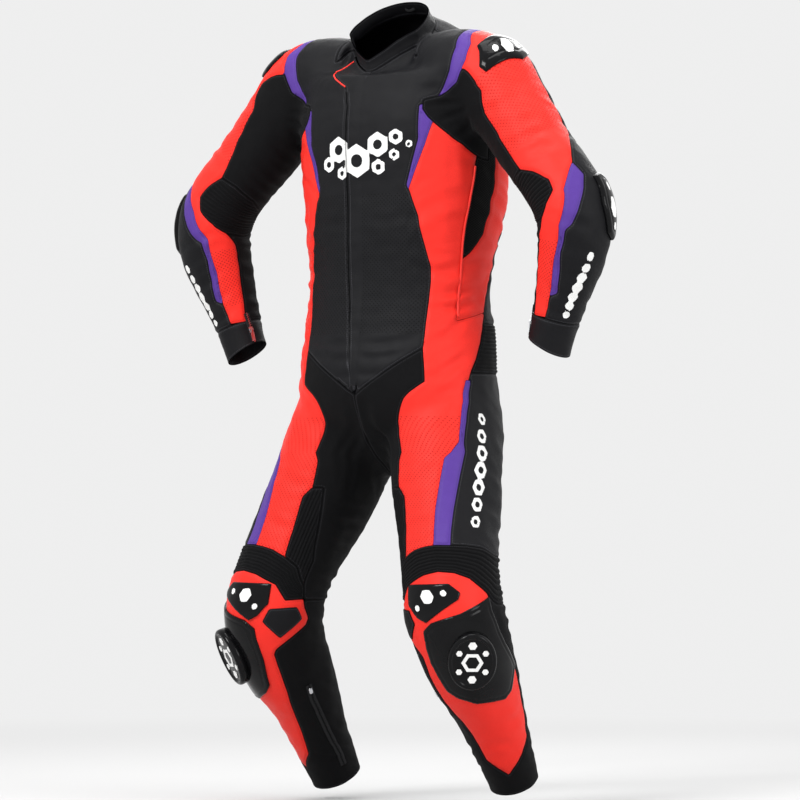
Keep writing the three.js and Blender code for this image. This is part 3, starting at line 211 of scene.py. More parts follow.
class Tube:
    def __init__(self, table, torso=False):
        names = table[0].split()
        rows = np.array(table[1], float)
        self.torso = torso
        self.c = {k: rows[:, i].copy() for i, k in enumerate(names)}
        if torso:
            self.c["x"] = np.zeros(len(rows))
            self.c["outer"] = self.c["inner"] = self.c["wide"]
        self.pts = np.stack([self.c["x"], self.c["y"], self.c["z"]], -1)
        self.s = np.concatenate([[0], np.cumsum(np.linalg.norm(np.diff(self.pts, axis=0), axis=1))])
        self.length = self.s[-1]

    def mid(self, s):
        return np.stack([curve(self.s, self.pts[:, k], s) for k in range(3)], -1)

    def frame(self, s):
        s = np.atleast_1d(np.asarray(s, float))
        inside = np.clip(s, 0, self.length)
        if self.torso:
            t = curve(self.s, self.c["tilt"], inside) * RAD
            zero = np.zeros_like(t)
            front = np.stack([zero, -np.cos(t), -np.sin(t)], -1)
            out = np.stack([zero + 1, zero, zero], -1)
            down = np.stack([zero, np.sin(t), -np.cos(t)], -1)
        else:
            down = unit(self.mid(inside + 1) - self.mid(inside - 1))
            front = unit(np.array([0, -1.0, 0]) + down * down[:, 1:2])
            out = np.cross(front, down)
            out = out * np.sign(out[:, :1])
        return self.mid(inside) + down * (s - inside)[:, None], front, out, down

    def radius(self, s, th):
        get = lambda k: curve(self.s, self.c[k], s)
        a = np.where(np.cos(th) >= 0, get("front"), get("back"))
        b = np.where(np.sin(th) >= 0, get("outer"), get("inner"))
        n = get("square")
        if self.torso:
            # the front of the neck comes to a soft point
            tip = curve(self.s, np.array(POINT + list(self.c["square"][len(POINT):])), s)
            n = n + (tip - n) * np.clip(np.cos(th) / 0.35, 0, 1)
        return (np.abs(np.cos(th) / a) ** n + np.abs(np.sin(th) / b) ** n) ** (-1 / n)

    def at(self, s, th, r=None):
        s, th = np.atleast_1d(np.asarray(s, float)), np.atleast_1d(np.asarray(th, float))
        mid, front, out, down = self.frame(s)
        r = self.radius(s, th) if r is None else r
        return mid + front * (r * np.cos(th))[:, None] + out * (r * np.sin(th))[:, None]

    def closed(self, start, end, slant=0):
        # rings a few millimetres apart, closed at both ends
        n = 72
        s = np.concatenate([[start], np.arange(max(start, 0) + 3, self.length, 6.0), [self.length], [end]])
        s = np.unique(s)
        th = -math.pi + 2 * math.pi * np.arange(n) / n
        S, T = np.meshgrid(s, th, indexing="ij")
        pts = self.at(S.ravel(), T.ravel())
        mid, _, _, _ = self.frame(s[[0, -1]])
        pts = np.vstack([pts, mid])
        faces = []
        for i in range(len(s) - 1):
            for j in range(n):
                k = (j + 1) % n
                faces.append((i * n + j, i * n + k, (i + 1) * n + k, (i + 1) * n + j))
        top, low, last = len(pts) - 2, len(pts) - 1, (len(s) - 1) * n
        for j in range(n):
            k = (j + 1) % n
            faces.append((k, j, top))
            faces.append((last + j, last + k, low))
        return pts, faces


torso, leg, arm = Tube(TORSO, True), Tube(LEG), Tube(ARM)


def remeshed():
    # trunk, legs and sleeves made one skin
    pts, faces = [], []
    for tube, ends in ((torso, (-14, torso.length)), (leg, (0, leg.length + 14)), (arm, (0, arm.length + 26))):
        p, f = tube.closed(*ends)
        for side in ((1,) if tube.torso else (1, -1)):
            q = p * (side, 1, 1)
            base = sum(len(x) for x in pts)
            flip = (np.cross(q[f[0][1]] - q[f[0][0]], q[f[0][2]] - q[f[0][0]])
                    @ (q[f[0][0]] - q[-2])) < 0
            faces += [tuple(base + i for i in (reversed(t) if flip else t)) for t in f]
            pts.append(q)
    me = bpy.data.meshes.new("raw")
    me.from_pydata(np.vstack(pts).tolist(), [], faces)
    ob = bpy.data.objects.new("raw", me)
    bpy.context.scene.collection.objects.link(ob)
    mod = ob.modifiers.new("skin", "REMESH")
    mod.mode = "VOXEL"
    mod.voxel_size = VOXEL
    dg = bpy.context.evaluated_depsgraph_get()
    got = ob.evaluated_get(dg).to_mesh()
    got.calc_loop_triangles()
    P = np.empty(len(got.vertices) * 3, np.float32)
    got.vertices.foreach_get("co", P)
    F = np.empty(len(got.loop_triangles) * 3, np.int32)
    got.loop_triangles.foreach_get("vertices", F)
    bpy.data.objects.remove(ob)
    bpy.data.meshes.remove(me)
    return P.reshape(-1, 3).astype(float), F.reshape(-1, 3).astype(np.int64)


def edges_of(F):
    E = np.vstack([F[:, [0, 1]], F[:, [1, 2]], F[:, [2, 0]]])
    E = np.unique(np.sort(E, axis=1), axis=0)
    return np.vstack([E, E[:, ::-1]])


def smooth(P, F, weight, times):
    E = edges_of(F)
    n = len(P)
    count = np.maximum(np.bincount(E[:, 0], minlength=n), 1)
    for _ in range(times):
        mean = np.stack([np.bincount(E[:, 0], P[E[:, 1], k], minlength=n) / count for k in range(3)], -1)
        P = P + (mean - P) * weight[:, None]
    return P


def vertex_normals(P, F):
    a, b, c = P[F[:, 0]], P[F[:, 1]], P[F[:, 2]]
    fn = np.cross(b - a, c - a)
    N = np.zeros_like(P)
    for k in range(3):
        for i in range(3):
            N[:, k] += np.bincount(F[:, i], fn[:, k], minlength=len(P))
    return unit(N)


def charts(Q):
    # where each point is on the body and along the sleeve
    side = np.where(Q[:, 0] >= 0, 1.0, -1.0)
    xs, y, z = np.abs(Q[:, 0]), Q[:, 1], Q[:, 2]
    ax, ay = np.interp(-z, -AXIS[:, 0], AXIS[:, 1]), np.interp(-z, -AXIS[:, 0], AXIS[:, 2])
    phi = np.degrees(np.arctan2(xs - ax, -(y - ay)))
    far = np.hypot(xs - ax, y - ay)
    s = np.full(len(Q), -50.0)
    th = np.zeros(len(Q))
    near = (xs > 90) & (z > -620)
    if near.any():
        M = np.stack([xs[near], y[near], z[near]], -1)
        grid = np.linspace(0, arm.length + 24, 90)
        mids = arm.frame(grid)[0]
        best, pick = np.full(len(M), 1e18), np.zeros(len(M), int)
        for i, m in enumerate(mids):
            d = ((M - m) ** 2).sum(1)
            less = d < best
            best[less], pick[less] = d[less], i
        t = grid[pick]
        for _ in range(4):
            mid, front, out, down = arm.frame(t)
            t = np.clip(t + 0.7 * ((M - mid) * down).sum(1), -20, arm.length + 40)
        mid, front, out, down = arm.frame(t)
        q = M - mid
        s[near] = t
        th[near] = np.degrees(np.arctan2((q * out).sum(1), (q * front).sum(1)))
    turned = th - side * np.interp(s, TURN[:, 0], TURN[:, 1])
    turned = (turned + 180) % 360 - 180
    return dict(side=side, x=Q[:, 0], xs=xs, y=y, z=z, phi=phi, far=far, s=s, th=turned, raw=th)


def outline(u, v, points, ku, kv):
    # distance to an outline in millimetres, negative inside
    inside = np.zeros(len(u), bool)
    best = np.full(len(u), 1e18)
    for (a, b), (c, d) in zip(points, points[1:] + points[:1]):
        ex, ey = (c - a) * ku, (d - b) * kv
        px, py = (u - a) * ku, (v - b) * kv
        t = np.clip((px * ex + py * ey) / (ex * ex + ey * ey), 0, 1)
        best = np.minimum(best, (px - t * ex) ** 2 + (py - t * ey) ** 2)
        if b != d:
            inside ^= ((b > v) != (d > v)) & (u < (c - a) * (v - b) / (d - b) + a)
    return np.where(inside, -1.0, 1.0) * np.sqrt(best)


def d_body(C, name):
    points = BODY[name]
    k = RAD * C["far"]
    d = outline(C["z"], C["phi"], points, 1.0, k)
    if max(p[1] for p in points) > 180:
        d = np.minimum(d, outline(C["z"], C["phi"] + 360, points, 1.0, k))
    return d


def d_front(C, name, signed=False):
    return outline(C["x"] if signed else C["xs"], C["z"], FRONT[name], 1.0, 1.0)


def d_sleeve(C, name):
    k = RAD * np.interp(C["s"], arm.s, arm.c["front"])
    return outline(C["s"], C["th"], SLEEVE[name], 1.0, k)


def crease(C, zone, a, b, c, width, depth, seed):
    # a soft trough with a low ridge along each side, uneven along its length
    if zone == "front":
        u, v, k = C["xs"], C["z"], 1.0
        ok = (C["y"] < 30)
    elif zone == "body":
        u, v, k = C["z"], C["phi"], RAD * C["far"]
        ok = ~((C["s"] > 95) & (C["xs"] > 172) & (C["z"] > -560))
        if max(a[1], b[1], c[1]) > 180:
            v = np.where(v < 0, v + 360, v)
    else:
        u, v, k = C["s"], C["th"], RAD * 60.0
        ok = C["s"] > 60
    for flip in (1.0, -1.0):
        r = np.random.default_rng(seed * 2 + int(flip > 0))
        shift = r.uniform(-4, 4, 2)
        size = depth * r.uniform(0.75, 1.25)
        t = np.linspace(0, 1, 9)[:, None]
        A, B, D = (np.array(p, float) + shift * (1, 1.0 if zone == "front" else 0.6) for p in (a, b, c))
        line = (1 - t) ** 2 * A + 2 * t * (1 - t) * B + t ** 2 * D
        mask = ok & (C["side"] == flip)
        idx = np.nonzero(mask)[0]
        kk = k[idx] if np.ndim(k) else np.full(len(idx), k)
        uu, vv = u[idx], v[idx]
        best = np.full(len(idx), 1e18)
        along = np.zeros(len(idx))
        for i in range(8):
            ex, ey = line[i + 1, 0] - line[i, 0], (line[i + 1, 1] - line[i, 1]) * kk
            px, py = uu - line[i, 0], (vv - line[i, 1]) * kk
            w = np.clip((px * ex + py * ey) / (ex * ex + ey * ey + 1e-9), 0, 1)
            d = (px - w * ex) ** 2 + (py - w * ey) ** 2
            less = d < best
            best[less], along[less] = d[less], (i + w[less]) / 8
        x = np.sqrt(best) / width
        fade = np.sin(np.pi * np.clip(along * 0.94 + 0.03, 0, 1)) ** 0.6
        fade = fade * (0.8 + 0.2 * np.sin(along * 9 + r.uniform(0, 6)))
        move = -np.exp(-x * x) + 0.5 * np.exp(-((x - 1.7) / 0.75) ** 2)
        yield idx, size * fade * move * (x < 4.5)


def uneven(Q, size, low, high, count, seed):
    # the slight unevenness of worn leather
    r = np.random.default_rng(seed)
    out = np.zeros(len(Q))
    for _ in range(count):
        k = unit(r.normal(size=3)) * 2 * math.pi / r.uniform(low, high)
        out += np.sin(Q @ k + r.uniform(0, 7)) / math.sqrt(count)
    return out * size


class Skin:
    def __init__(self, P, Q, F):
        self.P, self.Q, self.F = P, Q, F
        self.lab = np.zeros(len(F), int)
        self.mark = np.zeros(len(F), int)
        self.C = charts(Q)

    def split(self, d, among):
        # cut the faces of `among` along d = 0; says which faces lie inside
        d = np.where(np.abs(d) < 0.05, 0.0, d)
        F, n = self.F, len(self.P)
        neg, pos = d < 0, d > 0
        key = lambda a, b: np.minimum(a, b) * n + np.maximum(a, b)
        cand = np.nonzero(among & neg[F].any(1) & pos[F].any(1))[0]
        marked = []
        for i in range(3):
            a, b = F[cand, i], F[cand, (i + 1) % 3]
            hit = (neg[a] & pos[b]) | (pos[a] & neg[b])
            marked.append(key(a[hit], b[hit]))
        edges = np.unique(np.concatenate(marked)) if marked else np.array([], np.int64)
        if len(edges) == 0:
            return d[F].sum(1) < 0
        ea, eb = edges // n, edges % n
        t = (d[ea] / (d[ea] - d[eb]))[:, None]
        newP = self.P[ea] * (1 - t) + self.P[eb] * t
        newQ = self.Q[ea] * (1 - t) + self.Q[eb] * t
        flags, spot = [], []
        touch = np.zeros(n, bool)
        touch[ea] = touch[eb] = True
        rows = np.nonzero(touch[F].sum(1) >= 2)[0]
        G = F[rows]
        for i in range(3):
            k = key(G[:, i], G[:, (i + 1) % 3])
            p = np.clip(np.searchsorted(edges, k), 0, len(edges) - 1)
            flags.append(edges[p] == k)
            spot.append(n + p)
        flags, spot = np.stack(flags, 1), np.stack(spot, 1)
        count = flags.sum(1)
        new, src = [], []
        for i in range(3):
            a, b, c = G[:, i], G[:, (i + 1) % 3], G[:, (i + 2) % 3]
            one = (count == 1) & flags[:, i]
            m = spot[:, i]
            new += [np.stack([a, m, c], 1)[one], np.stack([m, b, c], 1)[one]]
            src += [rows[one], rows[one]]
            # edges i (a-b) and i+2 (c-a) are cut: a stands alone
            two = (count == 2) & flags[:, i] & flags[:, (i + 2) % 3]
            q = spot[:, (i + 2) % 3]
            new += [np.stack([a, m, q], 1)[two], np.stack([m, b, c], 1)[two], np.stack([m, c, q], 1)[two]]
            src += [rows[two], rows[two], rows[two]]
        gone = np.zeros(len(F), bool)
        gone[rows[count > 0]] = True
        src = np.concatenate(src)
        self.F = np.vstack([F[~gone], np.concatenate(new)])
        self.lab = np.concatenate([self.lab[~gone], self.lab[src]])
        self.mark = np.concatenate([self.mark[~gone], self.mark[src]])
        self.P, self.Q = np.vstack([self.P, newP]), np.vstack([self.Q, newQ])
        extra = charts(newQ)
        self.C = {k: np.concatenate([self.C[k], extra[k]]) for k in self.C}
        d = np.concatenate([d, np.zeros(len(newP))])
        return d[self.F].sum(1) < 0

    def take(self, label, distance, only=0):
        inside = self.split(distance(self.C), self.lab == only)
        self.lab[inside & (self.lab == only)] = label

    def stamp(self, distance, labels):
        allowed = np.isin(self.lab, labels)
        inside = self.split(distance(self.C), allowed)
        self.mark[inside & np.isin(self.lab, labels)] = 1


P, F = remeshed()
C = charts(P)
soft = 0.25 + 0.75 * np.clip(np.exp(-((C["xs"] - 168) / 45) ** 2 - ((P[:, 2] + 110) / 90) ** 2) * 1.6
                             + np.exp(-((P[:, 2] + 690) / 60) ** 2 - (C["xs"] / 70) ** 2) * 1.6
                             + np.exp(-((C["xs"] - 110) / 70) ** 2 - ((P[:, 2] - 10) / 40) ** 2), 0, 1)
soft = np.where((C["xs"] < 88) & (P[:, 2] > -62), 0.12, soft)
P = smooth(P, F, soft * 0.55, 22 if VOXEL < 5 else 10)
Q = P.copy()
N = vertex_normals(P, F)
C = charts(Q)
move = uneven(Q, 0.9, 70, 150, 14, 3) + uneven(Q, 0.35, 22, 45, 14, 5)
for i, (zone, a, b, c, width, depth) in enumerate(FOLDS):
    for idx, m in crease(C, zone, a, b, c, width, depth, i + 1):
        move[idx] += m
calm = np.exp(-((C["z"] + 390) / 160) ** 2) * np.clip((C["xs"] - 80) / 30, 0, 1) * (C["s"] < 95)
move = move * (1 - 0.85 * calm)
P = P + N * move[:, None]
skin = Skin(P, Q, F)

# Openings first: the neck, the cuffs and the hems.
NAMES = ["", "cut_away"]


def label(name):
    if name not in NAMES:
        NAMES.append(name)
    return NAMES.index(name)


neck_mid, neck_front, neck_out, neck_down = (x[0] for x in torso.frame(0))
row_mid = torso.frame(torso.s[1])[0][0]
row_down = torso.frame(torso.s[1])[3][0]
arm_end, arm_f, arm_o, arm_d = (x[0] for x in arm.frame(arm.length))
leg_end, leg_f, leg_o, leg_d = (x[0] for x in leg.frame(leg.length - 1))
leg_end = leg.mid(np.array([leg.length]))[0]


def plane(C, mid, normal):
    return ((C["xs"] - mid[0]) * normal[0] if mid[0] else 0) + (C["y"] - mid[1]) * normal[1] + (C["z"] - mid[2]) * normal[2]


def both(*fields):
    return np.maximum.reduce(fields)


def either(*fields):
    return np.minimum.reduce(fields)


def cuff_end(C):
    d = plane(C, arm_end, arm_d) - CUFF_SLANT * np.sin(C["raw"] * RAD)
    return both(-d, 560 - C["s"], 230 - C["xs"])




def notch(C, deep):
    # the front of the neck dips to a point
    return deep * np.clip(1 - C["xs"] / 46, 0, 1) * np.clip((neck_mid[1] - 8 - C["y"]) / 14, 0, 1)


skin.take(1, lambda C: both(plane(C, neck_mid, neck_down) - notch(C, 14), C["xs"] - 110, -C["z"] - 70))
skin.take(1, cuff_end)
skin.take(1, lambda C: both(-plane(C, leg_end, leg_d), C["z"] + 1150))
skin.take(label("collar"), lambda C: both(plane(C, row_mid, row_down) + 1.5 - notch(C, 8), C["xs"] - 84, -C["z"] - 50))

# The centre line, so that each face has one side.
skin.split(skin.C["x"], skin.lab == 0)


def armhole(C):
    return d_front(C, "armhole")


SEQUENCE = [
    ("cuff", lambda C: both(CUFF_SEAM - C["s"], armhole(C))),
    ("elbow_ribs", lambda C: both(armhole(C), d_sleeve(C, "elbow_ribs"))),
    ("forearm_purple", lambda C: both(armhole(C), d_sleeve(C, "purple"))),
    ("arm_inner", lambda C: either(both(armhole(C), d_sleeve(C, "arm_inner")), both(d_front(C, "gusset"), C["y"] - 40))),
    ("sleeve_red", lambda C: both(armhole(C), d_sleeve(C, "sleeve_red"))),
    ("arm_outer", armhole),
    ("stripe_shoulder", lambda C: both(d_front(C, "stripe_shoulder"), C["y"] - SEAM_Y)),
    ("stripe_chest", lambda C: both(d_front(C, "stripe_chest"), C["y"])),
    ("front", lambda C: both(d_front(C, "front"), C["y"] - SEAM_Y)),
    ("mesh_wedge", lambda C: d_body(C, "mesh_wedge")),
    ("side_back", lambda C: d_body(C, "side_back")),
    ("grip", lambda C: d_body(C, "grip")),
    ("knee_ribs", lambda C: d_body(C, "knee_ribs")),
    ("knee_shin", lambda C: d_body(C, "knee_shin")),
    ("thigh_purple", lambda C: d_body(C, "thigh_purple")),
    ("side_thigh", lambda C: d_body(C, "side_thigh")),
    ("lumbar", lambda C: d_body(C, "lumbar")),
    ("seat", lambda C: d_body(C, "seat")),
    ("thigh_outer", lambda C: d_body(C, "thigh_outer")),
    ("calf", lambda C: either(C["z"] - KNEE_SEAM, both(205 - C["xs"], C["z"] + 920))),
    ("crotch", lambda C: either(C["z"] + 566, both(C["y"], C["z"] + 500))),
    ("back", lambda C: C["z"] - 500),
]
for name, distance in SEQUENCE:
    skin.take(label(name), distance)
skin.take(label("zip_flap"), lambda C: both(d_front(C, "flap", True), C["y"]), only=label("front"))


def hexagon(u, v, x, y, r, ku=1.0, kv=1.0):
    px, py = np.abs((u - x) * ku), np.abs((v - y) * kv)
    return np.maximum(py * 0.866 + px * 0.5, px) - r


# The printed pattern: hexagons that shrink in a row, instead of any lettering or badge.
CHEST_MARKS = [(-64, -208, 12), (-40, -184, 20), (-2, -204, 25), (40, -178, 19), (-34, -224, 10), (40, -216, 12),
               (70, -196, 9), (74, -166, 12), (96, -178, 6)]


def chest_print(C):
    return both(either(*[both(hexagon(C["x"], C["z"], x, z, r), 0.45 * r - np.hypot(C["x"] - x, C["z"] - z))
                         for x, z, r in CHEST_MARKS]), C["y"])


def forearm_print(C):
    k = RAD * np.interp(C["s"], arm.s, arm.c["front"])
    return either(*[hexagon(C["s"], C["th"], 486 + 17.5 * i, 50 - 1.2 * i, r, 1.0, k)
                    for i, r in enumerate((6.0, 7.2, 8.0, 8.4, 8.0, 7.2, 6.0))])


def thigh_print(C):
    k = RAD * C["far"]
    return either(*[both(hexagon(C["z"], C["phi"], -644 - 29 * i, 82 - 3.0 * i, r, 1.0, k),
                         -hexagon(C["z"], C["phi"], -644 - 29 * i, 82 - 3.0 * i, r * 0.45, 1.0, k))
                    for i, r in enumerate((9.5, 11.5, 13.0, 13.5, 13.0, 11.5, 9.5))])


skin.stamp(chest_print, [label("front"), label("zip_flap")])
skin.stamp(forearm_print, [label("arm_outer")])
skin.stamp(thigh_print, [label("thigh_outer")])
skin.N = vertex_normals(skin.P, skin.F)


# Small leftovers of a cut join the panel beside them.
def components(n, A, B):
    p = np.arange(n)
    while True:
        m = np.minimum(p[A], p[B])
        q = p.copy()
        np.minimum.at(q, p[A], m)
        np.minimum.at(q, p[B], m)
        while (q[q] != q).any():
            q = q[q]
        if (q == p).all():
            return p
        p = q


def face_pairs(F):
    n = int(F.max()) + 1
    k = np.concatenate([np.minimum(F[:, i], F[:, (i + 1) % 3]) * n + np.maximum(F[:, i], F[:, (i + 1) % 3])
                        for i in range(3)])
    owner = np.tile(np.arange(len(F)), 3)
    order = np.argsort(k, kind="stable")
    k, owner = k[order], owner[order]
    same = np.nonzero(k[1:] == k[:-1])[0]
    return owner[same], owner[same + 1]


WHOLE = {"collar", "back", "lumbar", "seat", "zip_flap"}
split_by_side = np.array([n not in WHOLE for n in NAMES])


def group_ids():
    middle = skin.P[skin.F].mean(1)[:, 0]
    return skin.lab * 2 + ((middle < 0) & split_by_side[skin.lab])


def tidy_leftovers():
    A, B = face_pairs(skin.F)
    for _ in range(3):
        ids = group_ids()
        same = ids[A] == ids[B]
        comp = components(len(skin.F), A[same], B[same])
        size = np.bincount(comp, minlength=len(skin.F))
        best = {}
        for c in np.nonzero(size)[0]:
            g = ids[c]
            if size[c] > size[best.get(g, c)] or g not in best:
                best[g] = c
        stray = ~np.isin(comp, list(best.values())) & (skin.lab > 1)
        if not stray.any():
            return
        cross = stray[A] != stray[B]
        a = np.where(stray[A], A, B)[cross]
        b = np.where(stray[A], B, A)[cross]
        ok = skin.lab[b] > 1
        new = {}
        for ca, lb in zip(comp[a[ok]], skin.lab[b[ok]]):
            new.setdefault(ca, []).append(lb)
        for c, labels in new.items():
            skin.lab[comp == c] = np.bincount(labels).argmax()


tidy_leftovers()
open_edge = np.zeros(len(skin.P), bool)
open_edge[skin.F[skin.lab == 1].ravel()] = True


def subdivide(data, F, times):
    # each triangle into four
    for _ in range(times):
        n = len(data[0])
        E = np.sort(np.vstack([F[:, [0, 1]], F[:, [1, 2]], F[:, [2, 0]]]), axis=1)
        U, inv = np.unique(E, axis=0, return_inverse=True)
        inv = inv.reshape(3, -1) + n
        a, b, c = F.T
        ab, bc, ca = inv
        F = np.vstack([np.stack(t, 1) for t in ((a, ab, ca), (ab, b, bc), (ca, bc, c), (ab, bc, ca))])
        data = [np.concatenate([d, (d[U[:, 0]] + d[U[:, 1]]) / 2]) for d in data]
    return data, F


def border_of(F):
    # directed edges that have a face on one side only
    n = int(F.max()) + 1
    E = np.vstack([F[:, [0, 1]], F[:, [1, 2]], F[:, [2, 0]]])
    k, r = E[:, 0] * n + E[:, 1], E[:, 1] * n + E[:, 0]
    return E[~np.isin(k, r)]


def along_border(P, F):
    # nearest border point of each vertex: distance and the length run to it
    B = border_of(F)
    step = {}
    for a, b in B:
        step.setdefault(int(a), []).append(int(b))
    run = {}
    for start in list(step):
        if start in run:
            continue
        at, total = start, 0.0
        while at not in run and at in step:
            run[at] = total
            nxt = step[at][0]
            total += float(np.linalg.norm(P[at] - P[nxt]))
            at = nxt
    ids = list(run)
    tree = KDTree(len(ids))
    for i, v in enumerate(ids):
        tree.insert(P[v], i)
    tree.balance()
    dist, length, near = np.empty(len(P)), np.empty(len(P)), np.empty(len(P), int)
    for i, p in enumerate(P):
        _, j, d = tree.find(p)
        dist[i], length[i], near[i] = d, run[ids[j]], ids[j]
    return dist, length, near, B


def make(name, V, F, mats, face_mat=None, layers=None, sharp=None, smooth_faces=True):
    me = bpy.data.meshes.new(name)
    me.from_pydata((V * MM).tolist(), [], F.tolist())
    for m in mats:
        me.materials.append(m)
    if face_mat is not None:
        me.polygons.foreach_set("material_index", face_mat.astype(np.int32))
    me.polygons.foreach_set("use_smooth", np.full(len(me.polygons), smooth_faces))
    if sharp is not None:
        n = len(V)
        E = np.empty(len(me.edges) * 2, np.int32)
        me.edges.foreach_get("vertices", E)
        E = np.sort(E.reshape(-1, 2).astype(np.int64), axis=1)
        S = np.sort(sharp, axis=1)
        hit = np.isin(E[:, 0] * n + E[:, 1], S[:, 0] * n + S[:, 1])
        attr = me.attributes.new("sharp_edge", "BOOLEAN", "EDGE")
        attr.data.foreach_set("value", hit)
    for key, values in (layers or {}).items():
        if values.ndim == 2:
            uv = me.uv_layers.new(name=key)
            loops = np.empty(len(me.loops), np.int32)
            me.loops.foreach_get("vertex_index", loops)
            uv.data.foreach_set("uv", (values * MM)[loops].astype(np.float32).ravel())
        else:
            attr = me.attributes.new(key, "FLOAT", "POINT")
            attr.data.foreach_set("value", values.astype(np.float32))
    me.validate()
    ob = bpy.data.objects.new(name, me)
    bpy.context.scene.collection.objects.link(ob)
    return ob


def shell(name, V, N, F, drop, mats, face_mat, layers, inner=True, deep=THICK):
    # an outer face, an edge as thick as the cloth and an inner face
    B = border_of(F)
    n = len(V)
    low = V - N * drop[:, None] if np.ndim(drop) else V - N * drop
    if inner:
        VV = np.vstack([V, low])
        FF = [F, F[:, ::-1] + n]
        fm = [face_mat, face_mat * 0]
        m = B + n
    else:
        used, inv = np.unique(B, return_inverse=True)
        inv = inv.reshape(B.shape)
        VV = np.vstack([V, low[used]])
        FF, fm = [F], [face_mat]
        m = inv + n
    rim = np.vstack([np.stack([B[:, 1], B[:, 0], m[:, 0]], 1), np.stack([B[:, 1], m[:, 0], m[:, 1]], 1)])
    FF.append(rim)
    fm.append(np.zeros(len(rim)))
    lay = {}
    for key, values in layers.items():
        lay[key] = np.concatenate([values, values if inner else values[used]])
    sharp = np.vstack([B, m])
    return make(name, VV, np.vstack(FF), mats, np.concatenate(fm), lay, sharp)


